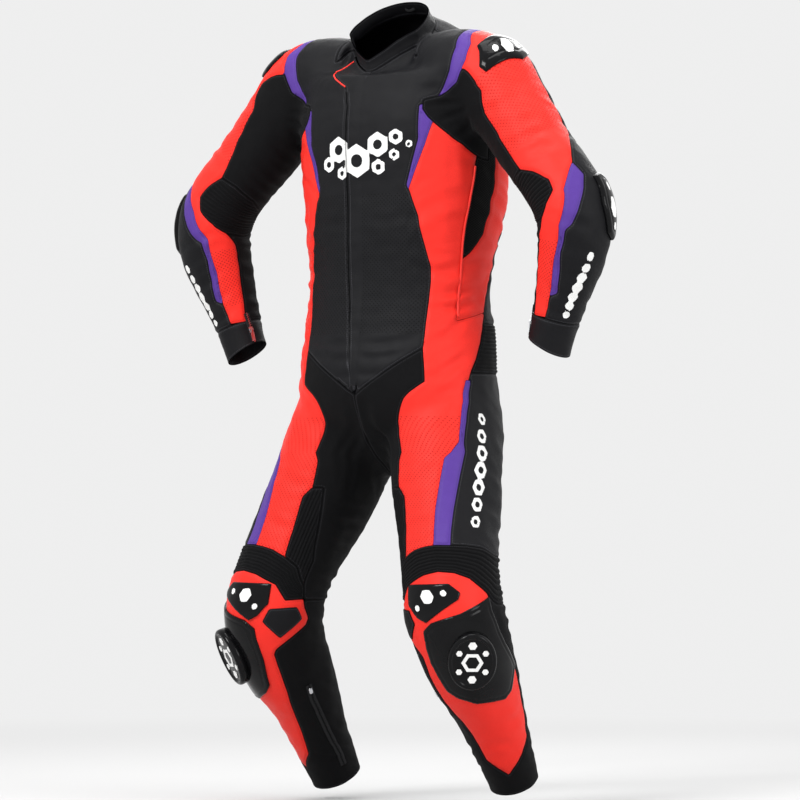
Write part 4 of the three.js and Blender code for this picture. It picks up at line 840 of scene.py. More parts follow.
# ---- materials: every number is set on the sockets ----
def material(name, base, rough, grain=0.0, grain_size=900.0, weave=0.0, stitch=None, holes=None, metal=0.0,
             coat=0.0, sheen=0.0, tint=0.12, shine=0.12, pit=0.1):
    mat = bpy.data.materials.new(name)
    mat.use_nodes = True
    nt = mat.node_tree
    nt.nodes.clear()
    N_ = lambda kind, **k: _node(nt, kind, k)
    L = lambda a, b: nt.links.new(a, b)
    out = N_("ShaderNodeOutputMaterial")
    bsdf = N_("ShaderNodeBsdfPrincipled")
    L(bsdf.outputs[0], out.inputs[0])
    bsdf.inputs["Metallic"].default_value = metal
    bsdf.inputs["Coat Weight"].default_value = coat
    bsdf.inputs["Coat Roughness"].default_value = 0.08
    bsdf.inputs["Specular IOR Level"].default_value = shine
    bsdf.inputs["Sheen Weight"].default_value = sheen
    bsdf.inputs["Sheen Roughness"].default_value = 0.5
    co = N_("ShaderNodeTexCoord").outputs["Object"]
    uv = N_("ShaderNodeUVMap", uv_map="UVMap").outputs[0]

    def math_(op, a, b=None, c=None, clamp=False):
        m = N_("ShaderNodeMath", operation=op, use_clamp=clamp)
        for i, x in enumerate((a, b, c)):
            if x is None:
                continue
            if hasattr(x, "links"):
                L(x, m.inputs[i])
            else:
                m.inputs[i].default_value = x
        return m.outputs[0]

    def noise(scale, detail=3.0, vec=co):
        t = N_("ShaderNodeTexNoise")
        t.inputs["Scale"].default_value = scale
        t.inputs["Detail"].default_value = detail
        L(vec, t.inputs["Vector"])
        return t.outputs[0]

    def attr(key):
        return N_("ShaderNodeAttribute", attribute_name=key).outputs["Fac"]

    def mix(fac, a, b):
        m = N_("ShaderNodeMix", data_type="RGBA")
        for sock, x in ((m.inputs[0], fac), (m.inputs[6], a), (m.inputs[7], b)):
            if hasattr(x, "links"):
                L(x, sock)
            elif isinstance(x, tuple):
                sock.default_value = x + (1.0,)
            else:
                sock.default_value = x
        return m.outputs[2]

    broad = noise(14.0, 4.0)
    fine = noise(260.0, 2.0)
    darker = tuple(c * (1 - tint) for c in base)
    lighter = tuple(min(1, c * (1 + tint) + 0.0015) for c in base)
    color = mix(broad, darker, lighter)
    color = mix(math_("MULTIPLY", fine, 0.25), color, darker)
    height = math_("MULTIPLY", noise(90.0, 2.0), 0.12)
    r = math_("MULTIPLY_ADD", broad, 0.16, rough - 0.08)
    if grain:
        vor = N_("ShaderNodeTexVoronoi", feature="DISTANCE_TO_EDGE")
        vor.inputs["Scale"].default_value = grain_size
        L(co, vor.inputs["Vector"])
        cell = math_("MINIMUM", math_("MULTIPLY", vor.outputs[0], 4.0), 1.0)
        height = math_("ADD", height, math_("MULTIPLY", cell, grain))
        color = mix(math_("MULTIPLY", math_("SUBTRACT", 1.0, cell), 0.35), color, tuple(c * 0.6 for c in base))
    if weave:
        w = N_("ShaderNodeSeparateXYZ")
        L(uv, w.inputs[0])
        a = math_("SINE", math_("MULTIPLY", w.outputs[0], 2 * math.pi / (1.5 * MM)))
        b = math_("SINE", math_("MULTIPLY", w.outputs[1], 2 * math.pi / (1.1 * MM)))
        knit = math_("MULTIPLY", math_("ADD", math_("MULTIPLY", a, b), 1.0), 0.5)
        height = math_("ADD", height, math_("MULTIPLY", knit, weave))
        color = mix(math_("MULTIPLY", knit, 0.5), color, tuple(min(1, c * 1.7 + 0.002) for c in base))
    alpha = None
    if holes:
        size, pitch = holes
        dots = []
        for off in (0.0, 0.5):
            v = N_("ShaderNodeVectorMath", operation="MULTIPLY_ADD")
            L(uv, v.inputs[0])
            v.inputs[1].default_value = (1 / (pitch * MM), 1 / (pitch * MM), 0.0)
            v.inputs[2].default_value = (off, off, 0.0)
            f = N_("ShaderNodeVectorMath", operation="FRACTION")
            L(v.outputs[0], f.inputs[0])
            s = N_("ShaderNodeVectorMath", operation="SUBTRACT")
            L(f.outputs[0], s.inputs[0])
            s.inputs[1].default_value = (0.5, 0.5, 0.0)
            q = N_("ShaderNodeVectorMath", operation="LENGTH")
            L(s.outputs[0], q.inputs[0])
            dots.append(q.outputs["Value"])
        near = math_("MULTIPLY", math_("MINIMUM", *dots), pitch)
        hole = math_("MULTIPLY_ADD", near, -1.0 / (size * 0.35), 1.0 + size / (size * 0.35) / 2, clamp=True)
        hole = math_("MULTIPLY", hole, math_("GREATER_THAN", attr("perf"), 0.5))
        color = mix(hole, color, tuple(c * pit for c in base))
        height = math_("SUBTRACT", height, math_("MULTIPLY", hole, 0.8))
        r = math_("MULTIPLY_ADD", hole, 0.3, r, clamp=True)
    if stitch:
        edge, run = attr("edge"), attr("run")
        line = math_("LESS_THAN", math_("ABSOLUTE", math_("SUBTRACT", edge, 3.2)), 0.45)
        dash = math_("LESS_THAN", math_("FRACT", math_("DIVIDE", run, 3.4)), 0.68)
        thread = math_("MULTIPLY", line, dash)
        groove = math_("SUBTRACT", 1.0, math_("MULTIPLY", math_("ABSOLUTE", math_("SUBTRACT", edge, 3.2)), 0.8), clamp=True)
        color = mix(thread, color, stitch)
        height = math_("SUBTRACT", height, math_("MULTIPLY", groove, 0.45))
        height = math_("ADD", height, math_("MULTIPLY", thread, 0.7))
        # painted shade: within about 0.9 mm of a panel border the colour darkens and reflects less, standing in for
        # shade in the groove between panels
        seam_shade = math_("SUBTRACT", 1.0, math_("MULTIPLY", edge, 1.1), clamp=True)
        color = mix(math_("MULTIPLY", seam_shade, 0.9), color, tuple(c * 0.12 for c in base))
        L(math_("MULTIPLY", math_("SUBTRACT", 1.0, seam_shade), shine), bsdf.inputs["Specular IOR Level"])
    bump = N_("ShaderNodeBump")
    bump.inputs["Strength"].default_value = 0.65
    bump.inputs["Distance"].default_value = 0.0006
    L(height, bump.inputs["Height"])
    L(bump.outputs[0], bsdf.inputs["Normal"])
    L(color, bsdf.inputs["Base Color"])
    L(r, bsdf.inputs["Roughness"])
    return mat


def _node(nt, kind, settings):
    n = nt.nodes.new(kind)
    for k, v in settings.items():
        setattr(n, k, v)
    return n


BLACK, RED, PURPLE = (0.0050, 0.0050, 0.0062), (0.80, 0.027, 0.018), (0.082, 0.036, 0.25)
MAT = {
    "black_leather": material("black leather", BLACK, 0.53, grain=0.30, grain_size=620, stitch=(0.035, 0.035, 0.04),
                              holes=(1.5, 7.0)),
    "red_leather": material("red leather", RED, 0.47, grain=0.22, grain_size=620, stitch=(0.55, 0.022, 0.018),
                            holes=(1.5, 7.0), tint=0.05, pit=0.42),
    "purple_leather": material("purple leather", PURPLE, 0.46, grain=0.22, grain_size=620,
                               stitch=(0.05, 0.025, 0.18), tint=0.08),
    "stretch_cloth": material("stretch cloth", (0.0028, 0.0028, 0.0032), 0.75, weave=0.45, sheen=0.02, shine=0.05,
                              stitch=(0.02, 0.02, 0.023)),
    "mesh_cloth": material("mesh cloth", (0.003, 0.003, 0.0034), 0.68, weave=0.2, holes=(2.2, 4.2),
                           stitch=(0.02, 0.02, 0.023)),
    "black_plastic": material("black plastic", (0.0035, 0.0035, 0.004), 0.13, tint=0.2, shine=0.12),
    "zip_metal": material("zip metal", (0.62, 0.63, 0.65), 0.28, metal=1.0, tint=0.06, shine=0.5),
}
WHITE = material("white print", (0.78, 0.78, 0.77), 0.42, grain=0.12, grain_size=620, tint=0.03, stitch=(0.6, 0.6, 0.6))
INK = material("black print", (0.014, 0.013, 0.015), 0.4, grain=0.12, grain_size=620, tint=0.1)
PLAIN_WHITE = material("white pattern", (0.78, 0.78, 0.77), 0.35, tint=0.03)
ZIP_TAPE = material("zip tape", (0.012, 0.012, 0.013), 0.7, weave=0.5)
PIPING = material("red piping", (0.85, 0.04, 0.03), 0.4, grain=0.1, tint=0.05)

SLOT = {"collar": "black_leather", "front": "black_leather", "back": "black_leather", "seat": "black_leather",
        "zip_flap": "black_leather", "thigh_outer": "black_leather", "knee_inset": "black_leather",
        "arm_outer": "black_leather", "cuff": "black_leather", "lumbar": "stretch_cloth", "grip": "stretch_cloth",
        "knee_ribs": "stretch_cloth", "crotch": "stretch_cloth", "calf": "stretch_cloth",
        "elbow_ribs": "stretch_cloth", "arm_inner": "stretch_cloth", "stripe_shoulder": "purple_leather",
        "stripe_chest": "purple_leather", "thigh_purple": "purple_leather", "forearm_purple": "purple_leather",
        "side_back": "red_leather", "side_thigh": "red_leather", "knee_shin": "red_leather",
        "sleeve_red": "red_leather", "mesh_wedge": "mesh_cloth", "knee_badge": "black_plastic",
        "slider_base": "black_plastic", "shoulder_cup": "black_plastic", "elbow_slider": "black_plastic"}
HELD = {"lumbar": "stretched", "grip": "stretched", "knee_ribs": "stretched", "crotch": "stretched",
        "calf": "stretched", "elbow_ribs": "stretched", "arm_inner": "stretched"}


def polyline_distance(u, v, line, ku, kv):
    best = np.full(len(u), 1e18)
    for (a, b), (c, d) in zip(line, line[1:]):
        ex, ey = (c - a) * ku, (d - b) * kv
        px, py = (u - a) * ku, (v - b) * kv
        t = np.clip((px * ex + py * ey) / (ex * ex + ey * ey), 0, 1)
        best = np.minimum(best, (px - t * ex) ** 2 + (py - t * ey) ** 2)
    return np.sqrt(best)


def rib_phase(name, C):
    if name == "lumbar":
        return C["z"] / 6.4
    if name == "elbow_ribs":
        return C["s"] / 6.6
    if name == "grip":
        return C["phi"] * RAD * C["far"] / 6.2
    k = RAD * C["far"]
    v = np.where(C["phi"] < -150, C["phi"] + 360, C["phi"])
    top = polyline_distance(C["z"], v, BODY["knee_ribs"][:11], 1.0, k)
    low = polyline_distance(C["z"], v, BODY["knee_ribs"][11:], 1.0, k)
    return 8.5 * top / (top + low + 1e-6)


def perforated(name, C):
    z, s, th = C["z"], C["s"], C["th"]
    if name == "front":
        return (z < -262) & (z > -500)
    if name == "side_thigh":
        return (z < -640) & (z > -880)
    if name in ("sleeve_red", "arm_outer"):
        return ((s > 150) & (s < 300)) | ((s > 470) & (s < 575) & (th < 0))
    if name == "back":
        return (z < -200) & (z > -420)
    if name == "thigh_outer":
        return (z < -620) & (z > -830) & (C["phi"] > 110)
    return np.ones(len(z), bool) if name == "mesh_wedge" else np.zeros(len(z), bool)


def uv_of(name, C):
    sleeve = name in ("cuff", "elbow_ribs", "forearm_purple", "arm_inner", "sleeve_red", "arm_outer")
    if sleeve:
        return np.stack([C["th"] * RAD * 52, C["s"]], 1)
    if name in ("front", "zip_flap", "stripe_shoulder", "stripe_chest"):
        return np.stack([C["x"], C["z"]], 1)
    return np.stack([C["phi"] * RAD * 95, C["z"]], 1)


SUIT = []


def panel(name, side):
    L = label(name)
    ids = group_ids()
    want = L * 2 + (1 if side == "right" and name not in WHOLE else 0)
    rows = np.nonzero(ids == want)[0]
    used, inv = np.unique(skin.F[rows], return_inverse=True)
    G = inv.reshape(-1, 3)
    data = [skin.P[used], skin.Q[used], skin.N[used]]
    flag = open_edge[used].astype(float)
    times = 2 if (name in ("lumbar", "elbow_ribs", "grip", "knee_ribs")) else 0
    mark = skin.mark[rows]
    (V, Qs, Ns, flag), G = subdivide(data + [flag], G, times)
    mark = np.tile(mark, 4 ** times)
    Ns = unit(Ns)
    Cs = charts(Qs)
    edge, run, near, _ = along_border(V, G)
    hem = flag[near] > 0.99
    if name in ("front", "zip_flap"):
        # the sewn join on the right of the fly fades out below the chest; along its free edge a wide dark line of
        # painted shadow is drawn
        joined = ((np.abs(Cs["x"] - 5) < 9) if name == "front" else (Cs["x"] > -6)) & (Cs["z"] > -585)
        edge = edge + 12 * np.clip((-45 - Cs["z"]) / 60, 0, 1) * joined
        free_edge = (np.abs(Cs["x"] + 24) < 11) & (Cs["z"] < -84) & (Cs["z"] > -590)
        # painted shadow: within 4 mm of the flap's free edge the edge distance is shrunk fivefold, so the painted
        # border shade darkens a wider strip there
        shade = np.where(free_edge, np.where(edge < 4, edge * 0.2, edge - 3.2), edge)
    node = name if name in WHOLE else name + "_" + side
    lift = np.where(hem, 0.25 * np.exp(-(edge / 5) ** 2),
                    -1.35 * np.exp(-(edge / 2.3) ** 2) + 0.5 * np.exp(-((edge - 6.5) / 2.8) ** 2))
    if name in ("lumbar", "elbow_ribs", "grip", "knee_ribs"):
        wave = np.abs(np.sin(np.pi * rib_phase(name, Cs))) ** 0.75 - 0.45
        fade = np.clip((edge - 0.6) / 3.5, 0, 1)
        fade = fade * fade * (3 - 2 * fade)
        lift = lift + wave * fade * 1.9
    if name == "zip_flap":
        free = np.clip((4 - Cs["x"]) / 16, 0, 1)
        lift = 0.2 + 1.5 * free - 0.9 * np.exp(-((edge - 9.5) / 1.1) ** 2) * free
        edge = shade
    if name == "front":
        lift = np.where(joined & (Cs["z"] < -60), np.maximum(lift, 0.2), lift)
        edge = shade
    if name == "collar":
        lift = lift + 0.5 * np.clip(edge / 6, 0, 1)
    V = V + Ns * lift[:, None]
    ribbed = times > 0
    layers = {"UVMap": uv_of(name, Cs), "edge": edge, "run": run, "perf": perforated(name, Cs).astype(float)}
    drop = THICK + np.maximum(lift, 0) * (1.0 if not ribbed else 0.5)
    mats = [MAT[SLOT[name]], WHITE, INK]
    ob = shell(node, V, Ns, G, drop, mats, mark.astype(float), layers, inner=not ribbed)
    ob.name = node + "_cloth"
    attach(ob, "suit")
    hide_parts(node)
    SUIT.append((ob, node))
    return ob


PANELS = ["collar", "zip_flap", "front", "back", "seat", "lumbar", "elbow_ribs", "forearm_purple", "arm_inner",
          "sleeve_red", "arm_outer", "cuff", "stripe_shoulder", "stripe_chest", "mesh_wedge", "side_back", "grip",
          "knee_ribs", "knee_shin", "thigh_purple", "side_thigh", "thigh_outer", "crotch", "calf"]
for name in PANELS:
    for side in (("",) if name in WHOLE else ("left", "right")):
        panel(name, side)

# Hard pieces lie on the cloth: each is cut from the same skin and raised, with rounded edges.
over = Skin(P, Q, F)
over_names = {}
HARD = {
    "knee_inset": (lambda C: d_body(C, "pentagon"), 1.7, 2.0, 0.0),
    "knee_badge": (lambda C: d_body(C, "badge"), 3.4, 4.0, 0.0),
    "slider_base": (lambda C: d_body(C, "slider_base"), 3.6, 4.5, 0.8),
    "shoulder_cup": (lambda C: d_sleeve(C, "shoulder_cup"), 5.2, 12.0, 1.0),
    "elbow_slider": (lambda C: d_sleeve(C, "elbow_slider"), 6.8, 7.0, 1.2),
}
over.split(over.C["x"], over.lab == 0)
for i, (name, (distance, height, round_, groove)) in enumerate(HARD.items()):
    over.take(10 + i, distance)


def mark_at(C, u0, v0, r, sleeve=False):
    u, v = (C["s"], C["th"]) if sleeve else (C["z"], C["phi"])
    k = RAD * (np.interp(C["s"], arm.s, arm.c["front"]) if sleeve else C["far"])
    return hexagon(u, v, u0, v0, r, 1.0, k)


over.stamp(lambda C: either(mark_at(C, -943, 4, 11), mark_at(C, -937, 23, 5), mark_at(C, -962, -11, 5)), [11])
over.stamp(lambda C: either(mark_at(C, 131, 80, 11, True), mark_at(C, 131, 61, 5, True),
                            mark_at(C, 131, 99, 5, True)), [13])
over.stamp(lambda C: either(mark_at(C, 428, 94, 10, True), mark_at(C, 408, 94, 4.5, True),
                            mark_at(C, 448, 94, 4.5, True)), [14])
over.N = vertex_normals(over.P, over.F)
for i, (name, (distance, height, round_, groove)) in enumerate(HARD.items()):
    middle = over.P[over.F].mean(1)[:, 0]
    for side, sign in (("left", 1), ("right", -1)):
        rows = np.nonzero((over.lab == 10 + i) & (middle * sign > 0))[0]
        used, inv = np.unique(over.F[rows], return_inverse=True)
        G = inv.reshape(-1, 3)
        times = 1
        (V, Qs, Ns), G = subdivide([over.P[used], over.Q[used], over.N[used]], G, times)
        mark = np.tile(over.mark[rows], 4 ** times)
        Ns = unit(Ns)
        V = V * 0.35 + Qs * 0.65 if name != "knee_inset" else V
        edge, run, near, _ = along_border(V, G)
        t = np.clip(edge / round_, 0, 1)
        up = 0.4 + height * (0.35 + 0.65 * np.sqrt(1 - (1 - t) ** 2))
        if groove:
            up = up - groove * np.exp(-((edge - round_ - 4) / 1.3) ** 2)
        Cs = charts(Qs)
        uvs = uv_of("x" if "knee" in name or "base" in name else "cuff", Cs)
        slot = SLOT[name]
        ob = shell(name + "_" + side, V + Ns * up[:, None], Ns, G, up + 0.9, [MAT[slot], PLAIN_WHITE], mark.astype(float),
                   {"UVMap": uvs, "edge": edge, "run": run, "perf": edge * 0}, inner=name == "knee_inset")
        node = name + "_" + side
        ob.name = node + "_shell"
        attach(ob, "suit")
        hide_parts(node)
        if name == "knee_inset":
            SUIT.append((ob, node))

TREE = BVHTree.FromPolygons(P.tolist(), F.tolist())


def on_body(z, phi, side):
    # the point of the skin at a height and an angle round the axis, and its outward normal
    ax, ay = np.interp(-z, -AXIS[:, 0], AXIS[:, 1]), np.interp(-z, -AXIS[:, 0], AXIS[:, 2])
    d = Vector((side * math.sin(phi * RAD), -math.cos(phi * RAD), 0))
    start = Vector((side * ax, ay, z))
    hit, normal, _, _ = TREE.ray_cast(start + d * 400, -d)
    for _ in range(6):
        again = TREE.ray_cast(hit - d * 3, -d)
        if again[0] is None or (again[0] - start).dot(d) < 8:
            break
        hit, normal = again[0], again[1]
    return np.array(hit), unit(np.array(normal))


def nearest(p):
    hit, normal, _, _ = TREE.find_nearest(Vector(p))
    return np.array(hit), unit(np.array(normal))


def tube_along(name, line, normals, half, high, mats, sides=10):
    # a soft cord of oval section along a line on the skin
    line, normals = np.array(line), np.array(normals)
    t = unit(np.gradient(line, axis=0))
    across = unit(np.cross(normals, t))
    ang = 2 * np.pi * np.arange(sides) / sides
    V = (line[:, None] + across[:, None] * (half * np.cos(ang))[None, :, None]
         + normals[:, None] * (high * np.sin(ang))[None, :, None]).reshape(-1, 3)
    F_ = []
    for i in range(len(line) - 1):
        for j in range(sides):
            k = (j + 1) % sides
            a, b, c, d = i * sides + j, i * sides + k, (i + 1) * sides + k, (i + 1) * sides + j
            F_ += [(a, b, c), (a, c, d)]
    last = (len(line) - 1) * sides
    for j in range(1, sides - 1):
        F_ += [(0, j + 1, j), (last, last + j, last + j + 1)]
    return make(name, V, np.array(F_), mats)


def dense(points, step):
    points = np.array(points, float)
    s = np.concatenate([[0], np.cumsum(np.linalg.norm(np.diff(points, axis=0), axis=1))])
    n = max(2, int(s[-1] / step) + 1)
    at = np.linspace(0, s[-1], n)
    return np.stack([np.interp(at, s, points[:, k]) for k in range(points.shape[1])], 1)


def settle(points, lift):
    got = [nearest(p) for p in points]
    return np.array([p + n * lift for p, n in got]), np.array([n for p, n in got])


# The leg zip and the cuff zip: a tape, a row of teeth each side and a slider.
def teeth(name, line, normals, mats):
    line = dense(line, 1.9)
    pts, nrm = settle(line, 1.2)
    t = unit(np.gradient(pts, axis=0))
    across = unit(np.cross(nrm, t))
    V, F_ = [], []
    for i in range(len(pts)):
        s = 1 if i % 2 else -1
        c = pts[i] + across[i] * s * 0.55
        base = len(V)
        for a, b, h in ((-1, -1, 0), (1, -1, 0), (1, 1, 0), (-1, 1, 0), (-1, -1, 1), (1, -1, 1), (1, 1, 1), (-1, 1, 1)):
            V.append(c + across[i] * a * 1.25 + t[i] * b * 0.55 + nrm[i] * (h * 1.1 - 0.2))
        for q in ((0, 3, 2, 1), (4, 5, 6, 7), (0, 1, 5, 4), (1, 2, 6, 5), (2, 3, 7, 6), (3, 0, 4, 7)):
            F_ += [[base + q[0], base + q[1], base + q[2]], [base + q[0], base + q[2], base + q[3]]]
    return make(name, np.array(V), np.array(F_), mats, smooth_faces=False)


def extra(ob, slot_name):
    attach(ob, "suit")
    return ob


CALF_ZIP = [(-1098, -49), (-1124, -47), (-1156, -50), (-1186, -54), (-1223, -62), (-1240, -61)]
for side, sign in (("left", 1), ("right", -1)):
    raw = [on_body(z, a, sign)[0] for z, a in dense(CALF_ZIP, 6)]
    line, nrm = settle(dense(raw, 3), 0.55)
    extra(tube_along("leg_zip_tape_" + side, line, nrm, 6.2, 0.75, [ZIP_TAPE]), "stretch_cloth")
    extra(teeth("leg_zip_teeth_" + side, raw, None, [MAT["black_plastic"]]), "black_plastic")
    tip = line[4]
    t = unit(line[8] - line[4])
    c, n = settle([tip], 2.2)
    body_line = np.array([c[0] - t * 5, c[0] - t * 3, c[0], c[0] + t * 4, c[0] + t * 6])
    extra(tube_along("leg_zip_slider_" + side, body_line, np.repeat(n, 5, 0), 3.4, 1.5, [MAT["zip_metal"]]), "zip_metal")
    lo, hi = (np.array(v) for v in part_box("cuff_slider_" + side))
    mid = (lo + hi) / 2 / MM if abs(hi[2]) < 5 else (lo + hi) / 2
    down = np.array([-0.120 * sign, 0.179, -0.976])
    raw = [mid + down * s for s in np.arange(-30, 24, 4.0)]
    line, nrm = settle(dense(settle(raw, 0)[0], 3), 0.45)
    extra(tube_along("cuff_zip_tape_" + side, line, nrm, 5.4, 0.7, [ZIP_TAPE]), "stretch_cloth")
    extra(teeth("cuff_zip_teeth_" + side, settle(raw, 0)[0], None, [MAT["zip_metal"]]), "zip_metal")

# Red piping round the point of the fly, and a raised ridge in front of the mesh wedge.
piping = dense([(-46, -29), (-53, -31), (-75, -47), (-56, -62), (-33, -76)], 2.0)
raw = []
for x, z in piping:
    hit, normal, _, _ = TREE.ray_cast(Vector((x, -400, z)), Vector((0, 1, 0)))
    raw.append(np.array(hit))
line, nrm = settle(raw, 1.9)
extra(tube_along("fly_piping", line, nrm, 1.25, 1.25, [PIPING]), "red_leather")
for side, sign in (("left", 1), ("right", -1)):
    raw = [on_body(z, a, sign)[0] for z, a in dense([(-214, 80), (-238, 78.5), (-314, 74.5), (-358, 73.5),
                                                    (-374, 74.5), (-420, 72.5), (-470, 70)], 4)]
    line, nrm = settle(dense(raw, 3), 0.7)
    for _ in range(45):
        line[1:-1] = (line[:-2] + 2 * line[1:-1] + line[2:]) / 4
    extra(tube_along("side_ridge_" + side, line, nrm, 2.0, 1.7, [PIPING]), "red_leather")

# The knee pucks, with a raised rim round a dished face.
for side, sign in (("left", 1), ("right", -1)):
    base, _ = on_body(-1047, 36, sign)
    ax, ay = np.interp(1047, -AXIS[:, 0], AXIS[:, 1]), np.interp(1047, -AXIS[:, 0], AXIS[:, 2])
    out = unit(base - np.array([sign * ax, ay, -1047]))
    out[2] = -0.45
    out = unit(out)
    across = unit(np.cross([0, 0, 1], out))
    up = unit(np.cross(out, across))
    rows = [(-4, 0.98), (7, 1.0), (9.5, 1.0), (11.5, 0.99), (13.4, 0.965), (14.6, 0.925), (14.8, 0.885), (14.2, 0.85),
            (12.6, 0.825), (11.9, 0.79), (12.0, 0.7), (12.5, 0.5), (12.9, 0.25), (13.0, 0.02)]
    n = 72
    ang = 2 * np.pi * np.arange(n) / n
    V = []
    for far, size in rows:
        for a in ang:
            V.append(base + out * far + across * 41 * size * math.cos(a) + up * 52 * size * math.sin(a))
    F_ = []
    for i in range(len(rows) - 1):
        for j in range(n):
            k = (j + 1) % n
            a, b, c, d = i * n + j, i * n + k, (i + 1) * n + k, (i + 1) * n + j
            F_ += [(a, b, c), (a, c, d)]
    last = (len(rows) - 1) * n
    for j in range(1, n - 1):
        F_ += [(0, j + 1, j), (last, last + j, last + j + 1)]
    ob = make("knee_puck_" + side + "_shell", np.array(V), np.array(F_), [MAT["black_plastic"]])
    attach(ob, "suit")
    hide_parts("knee_puck_" + side)
    V, F_ = [], []
    for cx, cy, r0, r1 in ((0, 0, 12, 18.5), (0, 31, 0, 7.5), (0, -31, 0, 7.5), (22, 17, 0, 5.5), (-22, 17, 0, 5.5),
                           (22, -17, 0, 5.5), (-22, -17, 0, 5.5)):
        b0 = len(V)
        for r, h in ((r0, 12.4), (r0, 13.5), (r1, 13.5), (r1, 12.4)):
            for a in np.arange(6) * math.pi / 3:
                V.append(base + out * h + across * (cx + max(r, 0.05) * math.cos(a)) + up * (cy + max(r, 0.05) * math.sin(a)))
        for i in range(4):
            for j in range(6):
                k = (j + 1) % 6
                i2 = (i + 1) % 4
                a, b, c, d = b0 + i * 6 + j, b0 + i * 6 + k, b0 + i2 * 6 + k, b0 + i2 * 6 + j
                F_ += [(a, c, b), (a, d, c)]
    ob = make("knee_puck_" + side + "_pattern", np.array(V), np.array(F_), [PLAIN_WHITE], smooth_faces=False)
    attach(ob, "suit")

# The loop of tape inside the back of the neck.
lo, hi = (np.array(v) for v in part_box("hanger_loop"))
scale = 1000 if abs(hi[2]) < 5 else 1
lo, hi = lo * scale, hi * scale
u = np.linspace(-1, 1, 33)
line = np.stack([11.6 * u, hi[1] - 2.2 - 4.6 * (1 - u * u) * 0.55 + 0 * u, hi[2] - 3.4 - 6.2 * (1 - u * u)], 1)
nrm = np.tile(unit(np.array([0, -0.8, -0.6])), (33, 1))
ob = tube_along("hanger_loop_tape", line, nrm, 2.7, 0.55, [ZIP_TAPE], sides=12)
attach(ob, "suit")
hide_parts("hanger_loop")

for side in ("left", "right"):
    for node in ("cuff_slider_", "cuff_pull_"):
        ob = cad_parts[node + side]
        for s in ob.material_slots:
            s.material = MAT["zip_metal"]
        bevel = ob.modifiers.new("edge", "BEVEL")
        bevel.width = 0.25 * MM
        bevel.segments = 2

# Each cloth piece's flat cut: width, length and area, in metres and square metres.
CUT = {
    "collar": (0.49, 0.034, 0.0140), "zip_flap": (0.080, 0.575, 0.0169), "front": (0.165, 0.635, 0.0666),
    "back": (0.520, 0.550, 0.2140), "seat": (0.400, 0.220, 0.0638), "lumbar": (0.530, 0.115, 0.0586),
    "elbow_ribs": (0.120, 0.156, 0.0127), "forearm_purple": (0.062, 0.195, 0.0041), "arm_inner": (0.165, 0.550, 0.0549),
    "sleeve_red": (0.175, 0.530, 0.0512), "arm_outer": (0.330, 0.520, 0.0800), "cuff": (0.240, 0.058, 0.0120),
    "stripe_shoulder": (0.055, 0.117, 0.0035), "stripe_chest": (0.042, 0.141, 0.0018),
    "mesh_wedge": (0.050, 0.225, 0.0092), "side_back": (0.095, 0.375, 0.0280), "grip": (0.104, 0.168, 0.0078),
    "knee_ribs": (0.360, 0.130, 0.0255), "knee_shin": (0.320, 0.345, 0.0612), "thigh_purple": (0.070, 0.285, 0.0070),
    "side_thigh": (0.205, 0.740, 0.0620), "thigh_outer": (0.300, 0.320, 0.0710), "crotch": (0.320, 0.430, 0.0615),
    "calf": (0.360, 0.365, 0.0958), "knee_inset": (0.056, 0.064, 0.0025),
}
for ob, node in SUIT:
    name = node.replace("_left", "").replace("_right", "")
    width, length, area = CUT[name]
    ribbed = name in ("lumbar", "elbow_ribs", "grip", "knee_ribs")
    "gathered" if ribbed else HELD.get(name, "hung")

# ---- floor, light and camera ----
STUDIO = 0.86
me = bpy.data.meshes.new("floor")
me.from_pydata([(-30, -30, -1.302), (30, -30, -1.302), (30, 30, -1.302), (-30, 30, -1.302)], [], [(0, 1, 2, 3)])
floor = bpy.data.objects.new("floor", me)
bpy.context.scene.collection.objects.link(floor)
fm = bpy.data.materials.new("pale floor")
fm.use_nodes = True
b = fm.node_tree.nodes["Principled BSDF"]
b.inputs["Base Color"].default_value = (0.53, 0.53, 0.53, 1)
b.inputs["Roughness"].default_value = 0.9
b.inputs["Specular IOR Level"].default_value = 0.0
far = _node(fm.node_tree, "ShaderNodeEmission", {})
far.inputs[0].default_value = (1, 1, 1, 1)
far.inputs[1].default_value = STUDIO
place = _node(fm.node_tree, "ShaderNodeTexCoord", {})
reach = _node(fm.node_tree, "ShaderNodeVectorMath", {"operation": "LENGTH"})
fade = _node(fm.node_tree, "ShaderNodeMapRange", {"interpolation_type": "SMOOTHSTEP"})
fade.inputs["From Min"].default_value = 1.5
fade.inputs["From Max"].default_value = 4.0
both_ = _node(fm.node_tree, "ShaderNodeMixShader", {})
fm.node_tree.links.new(place.outputs["Object"], reach.inputs[0])
fm.node_tree.links.new(reach.outputs["Value"], fade.inputs["Value"])
fm.node_tree.links.new(fade.outputs[0], both_.inputs[0])
fm.node_tree.links.new(b.outputs[0], both_.inputs[1])
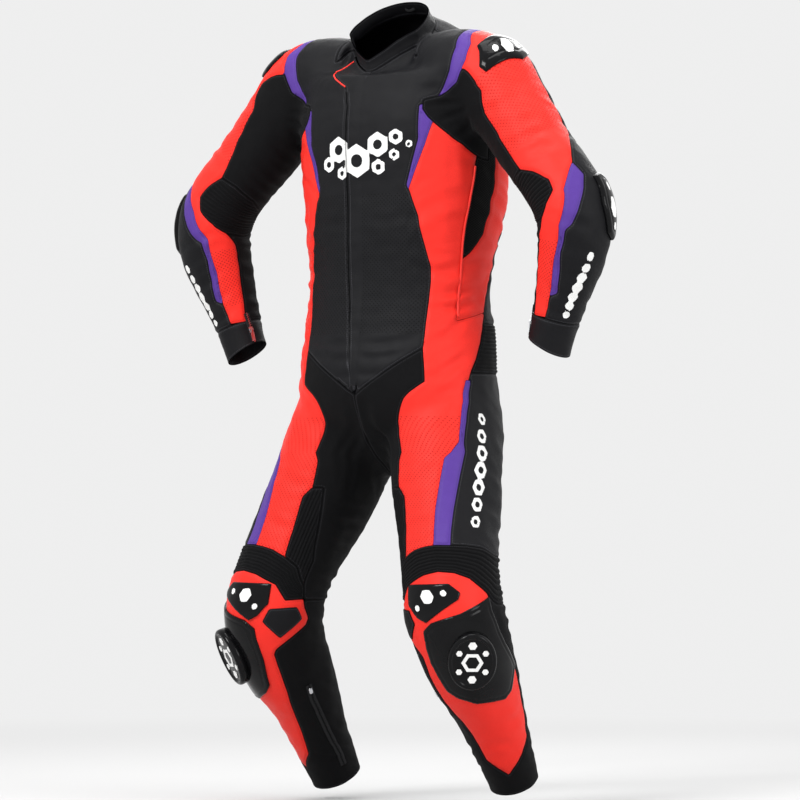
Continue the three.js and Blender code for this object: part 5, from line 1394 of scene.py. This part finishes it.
fm.node_tree.links.new(far.outputs[0], both_.inputs[2])
fm.node_tree.links.new(both_.outputs[0], fm.node_tree.nodes["Material Output"].inputs[0])
me.materials.append(fm)

world = bpy.data.worlds.new("studio") if bpy.context.scene.world is None else bpy.context.scene.world
bpy.context.scene.world = world
world.use_nodes = True
bg = world.node_tree.nodes.get("Background")
bg.inputs[0].default_value = (1.0, 1.0, 1.0, 1)
bg.inputs[1].default_value = STUDIO

AZ, EL = math.radians(34), math.radians(-1.5)
RIGHT = Vector((math.cos(AZ), math.sin(AZ), 0))
BACK = Vector((math.sin(AZ) * math.cos(EL), -math.cos(AZ) * math.cos(EL), math.sin(EL)))
UP = BACK.cross(RIGHT)
TARGET = RIGHT * 0.0189 + Vector((0, 0, -0.609))


def area_light(name, place, aim, size, power):
    data = bpy.data.lights.new(name, "AREA")
    data.size = size
    data.energy = power
    ob = bpy.data.objects.new(name, data)
    ob.location = place
    ob.rotation_euler = (Vector(aim) - Vector(place)).to_track_quat("-Z", "Y").to_euler()
    bpy.context.scene.collection.objects.link(ob)


area_light("key", TARGET + BACK * 2.6 - RIGHT * 2.2 + Vector((0, 0, 2.4)), TARGET, 1.3, 125)
area_light("fill", TARGET + BACK * 2.2 + RIGHT * 2.6 + Vector((0, 0, 0.9)), TARGET, 1.6, 50)
area_light("top", TARGET + BACK * 0.3 + Vector((0, 0, 3.2)), TARGET, 2.0, 55)
area_light("rim", TARGET - BACK * 2.4 + RIGHT * 0.6 + Vector((0, 0, 1.8)), TARGET, 1.8, 45)

cam = bpy.data.cameras.new("camera")
cam.sensor_width = 36
cam.lens = 36 * 8000 / 1372
cam.clip_end = 100
co = bpy.data.objects.new("camera", cam)
m = Matrix.Identity(4)
for i, axis in enumerate((RIGHT, UP, BACK)):
    for k in range(3):
        m[k][i] = axis[k]
m.translation = TARGET + BACK * 8
co.matrix_world = m
bpy.context.scene.collection.objects.link(co)
bpy.context.scene.camera = co
bpy.context.scene.view_settings.view_transform = "Standard"
